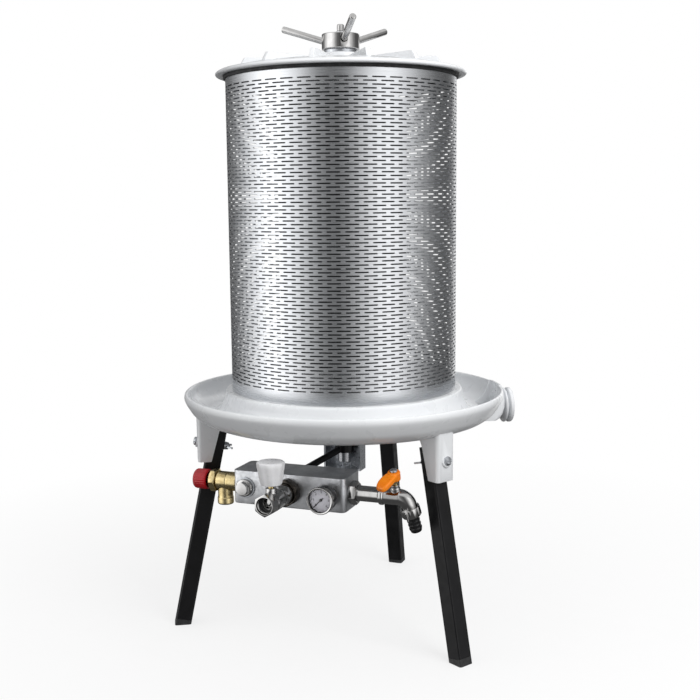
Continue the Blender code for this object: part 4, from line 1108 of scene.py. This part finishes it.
def add_world():
    """Camera rays see plain white; everything else sees the softboxes."""
    world = bpy.data.worlds.new("studio")
    bpy.context.scene.world = world
    world.use_nodes = True
    nodes, links = world.node_tree.nodes, world.node_tree.links

    def math(operation, a, b):
        node = nodes.new("ShaderNodeMath")
        node.operation = operation
        for socket, value in zip(node.inputs, (a, b)):
            if isinstance(value, (int, float)):
                socket.default_value = value
            else:
                links.new(value, socket)
        return node.outputs[0]

    split = nodes.new("ShaderNodeSeparateXYZ")
    links.new(nodes.new("ShaderNodeTexCoord").outputs["Generated"], split.inputs[0])
    x, y, z = split.outputs
    azimuth = math("ARCTAN2", x, math("MULTIPLY", y, -1))
    share = math("ADD", math("DIVIDE", azimuth, 2 * pi), 0.5)
    ramp = nodes.new("ShaderNodeValToRGB")
    ramp.color_ramp.interpolation = "EASE"
    stops = ramp.color_ramp.elements
    for k, (angle, value) in enumerate(STUDIO):
        position = angle / 360 + 0.5
        stop = stops[0] if k == 0 else stops.new(position)
        stop.position = position
        level = value / STUDIO_PEAK
        stop.color = (level, level, level, 1)
    stops.remove(stops[len(STUDIO)])
    links.new(share, ramp.inputs["Fac"])
    sides = math("MULTIPLY", ramp.outputs["Color"], STUDIO_PEAK)

    def height_share(start, end):
        node = nodes.new("ShaderNodeMapRange")
        node.interpolation_type = "SMOOTHSTEP"
        node.inputs["From Min"].default_value = start
        node.inputs["From Max"].default_value = end
        links.new(z, node.inputs["Value"])
        return node.outputs["Result"]

    def blend(amount, a, b):
        return math("ADD", math("MULTIPLY", a, math("SUBTRACT", 1, amount)), math("MULTIPLY", b, amount))

    overhead, below = height_share(0.45, 0.75), height_share(-0.15, -0.6)

    def dome(walls, top, bottom):
        return blend(below, blend(overhead, walls, top), bottom)

    path = nodes.new("ShaderNodeLightPath")
    level = dome(sides, *MIRRORED)
    level = blend(path.outputs["Is Diffuse Ray"], level, dome(math("MULTIPLY", sides, SIDES_SHARE), *SOFT))
    level = blend(path.outputs["Is Camera Ray"], level, 1.0)
    background = nodes["Background"]
    links.new(level, background.inputs["Color"])


FLOOR_R = 3.0


def add_floor():
    """A pale floor that turns to plain white away from the object."""
    work = bmesh.new()
    bmesh.ops.create_circle(work, cap_ends=True, segments=96, radius=FLOOR_R)
    mesh = bpy.data.meshes.new("floor")
    work.to_mesh(mesh)
    work.free()
    floor = bpy.data.objects.new("floor", mesh)
    bpy.context.scene.collection.objects.link(floor)
    look = Look("floor", (0.9, 0.9, 0.905), 0.6)
    look.tint(look.grain(40), (0.885, 0.885, 0.89))
    distance = look.nodes.new("ShaderNodeVectorMath")
    distance.operation = "LENGTH"
    look.links.new(look.place, distance.inputs[0])
    fade = look.spread(distance.outputs["Value"], 0.75, 1, 0.35, 1.1)
    glow = look.nodes.new("ShaderNodeEmission")
    mix = look.nodes.new("ShaderNodeMixShader")
    look.links.new(fade, mix.inputs["Fac"])
    look.links.new(look.shader.outputs["BSDF"], mix.inputs[1])
    look.links.new(glow.outputs["Emission"], mix.inputs[2])
    output = look.nodes["Material Output"]
    look.links.new(mix.outputs["Shader"], output.inputs["Surface"])
    mesh.materials.append(look.material)
    floor.visible_glossy = False
    floor.visible_diffuse = False


def add_key_light():
    """A large soft key high on the right, for the shapes of the white castings."""
    data = bpy.data.lights.new("key", "AREA")
    data.energy = 30
    data.size = 1.2
    key = bpy.data.objects.new("key", data)
    bpy.context.scene.collection.objects.link(key)
    spot = AXIS + Vector(KEY_AT)
    aim = AXIS + Vector(KEY_AIM) - spot
    key.matrix_world = Matrix.Translation(spot) @ aim.to_track_quat("-Z", "Y").to_matrix().to_4x4()
    key.visible_glossy = False


# ---------------------------------------------------------------- assembly

paint_frame()
build_basket()
build_bladder()
build_tray()
build_lid()
build_star_nut()
build_spindle()
build_block()
build_plug()
build_relief_valve()
build_inlet()
build_gauge()
build_tap()
build_lever()
add_camera()
add_world()
add_floor()
add_key_light()
bpy.context.scene.view_settings.view_transform = "Standard"
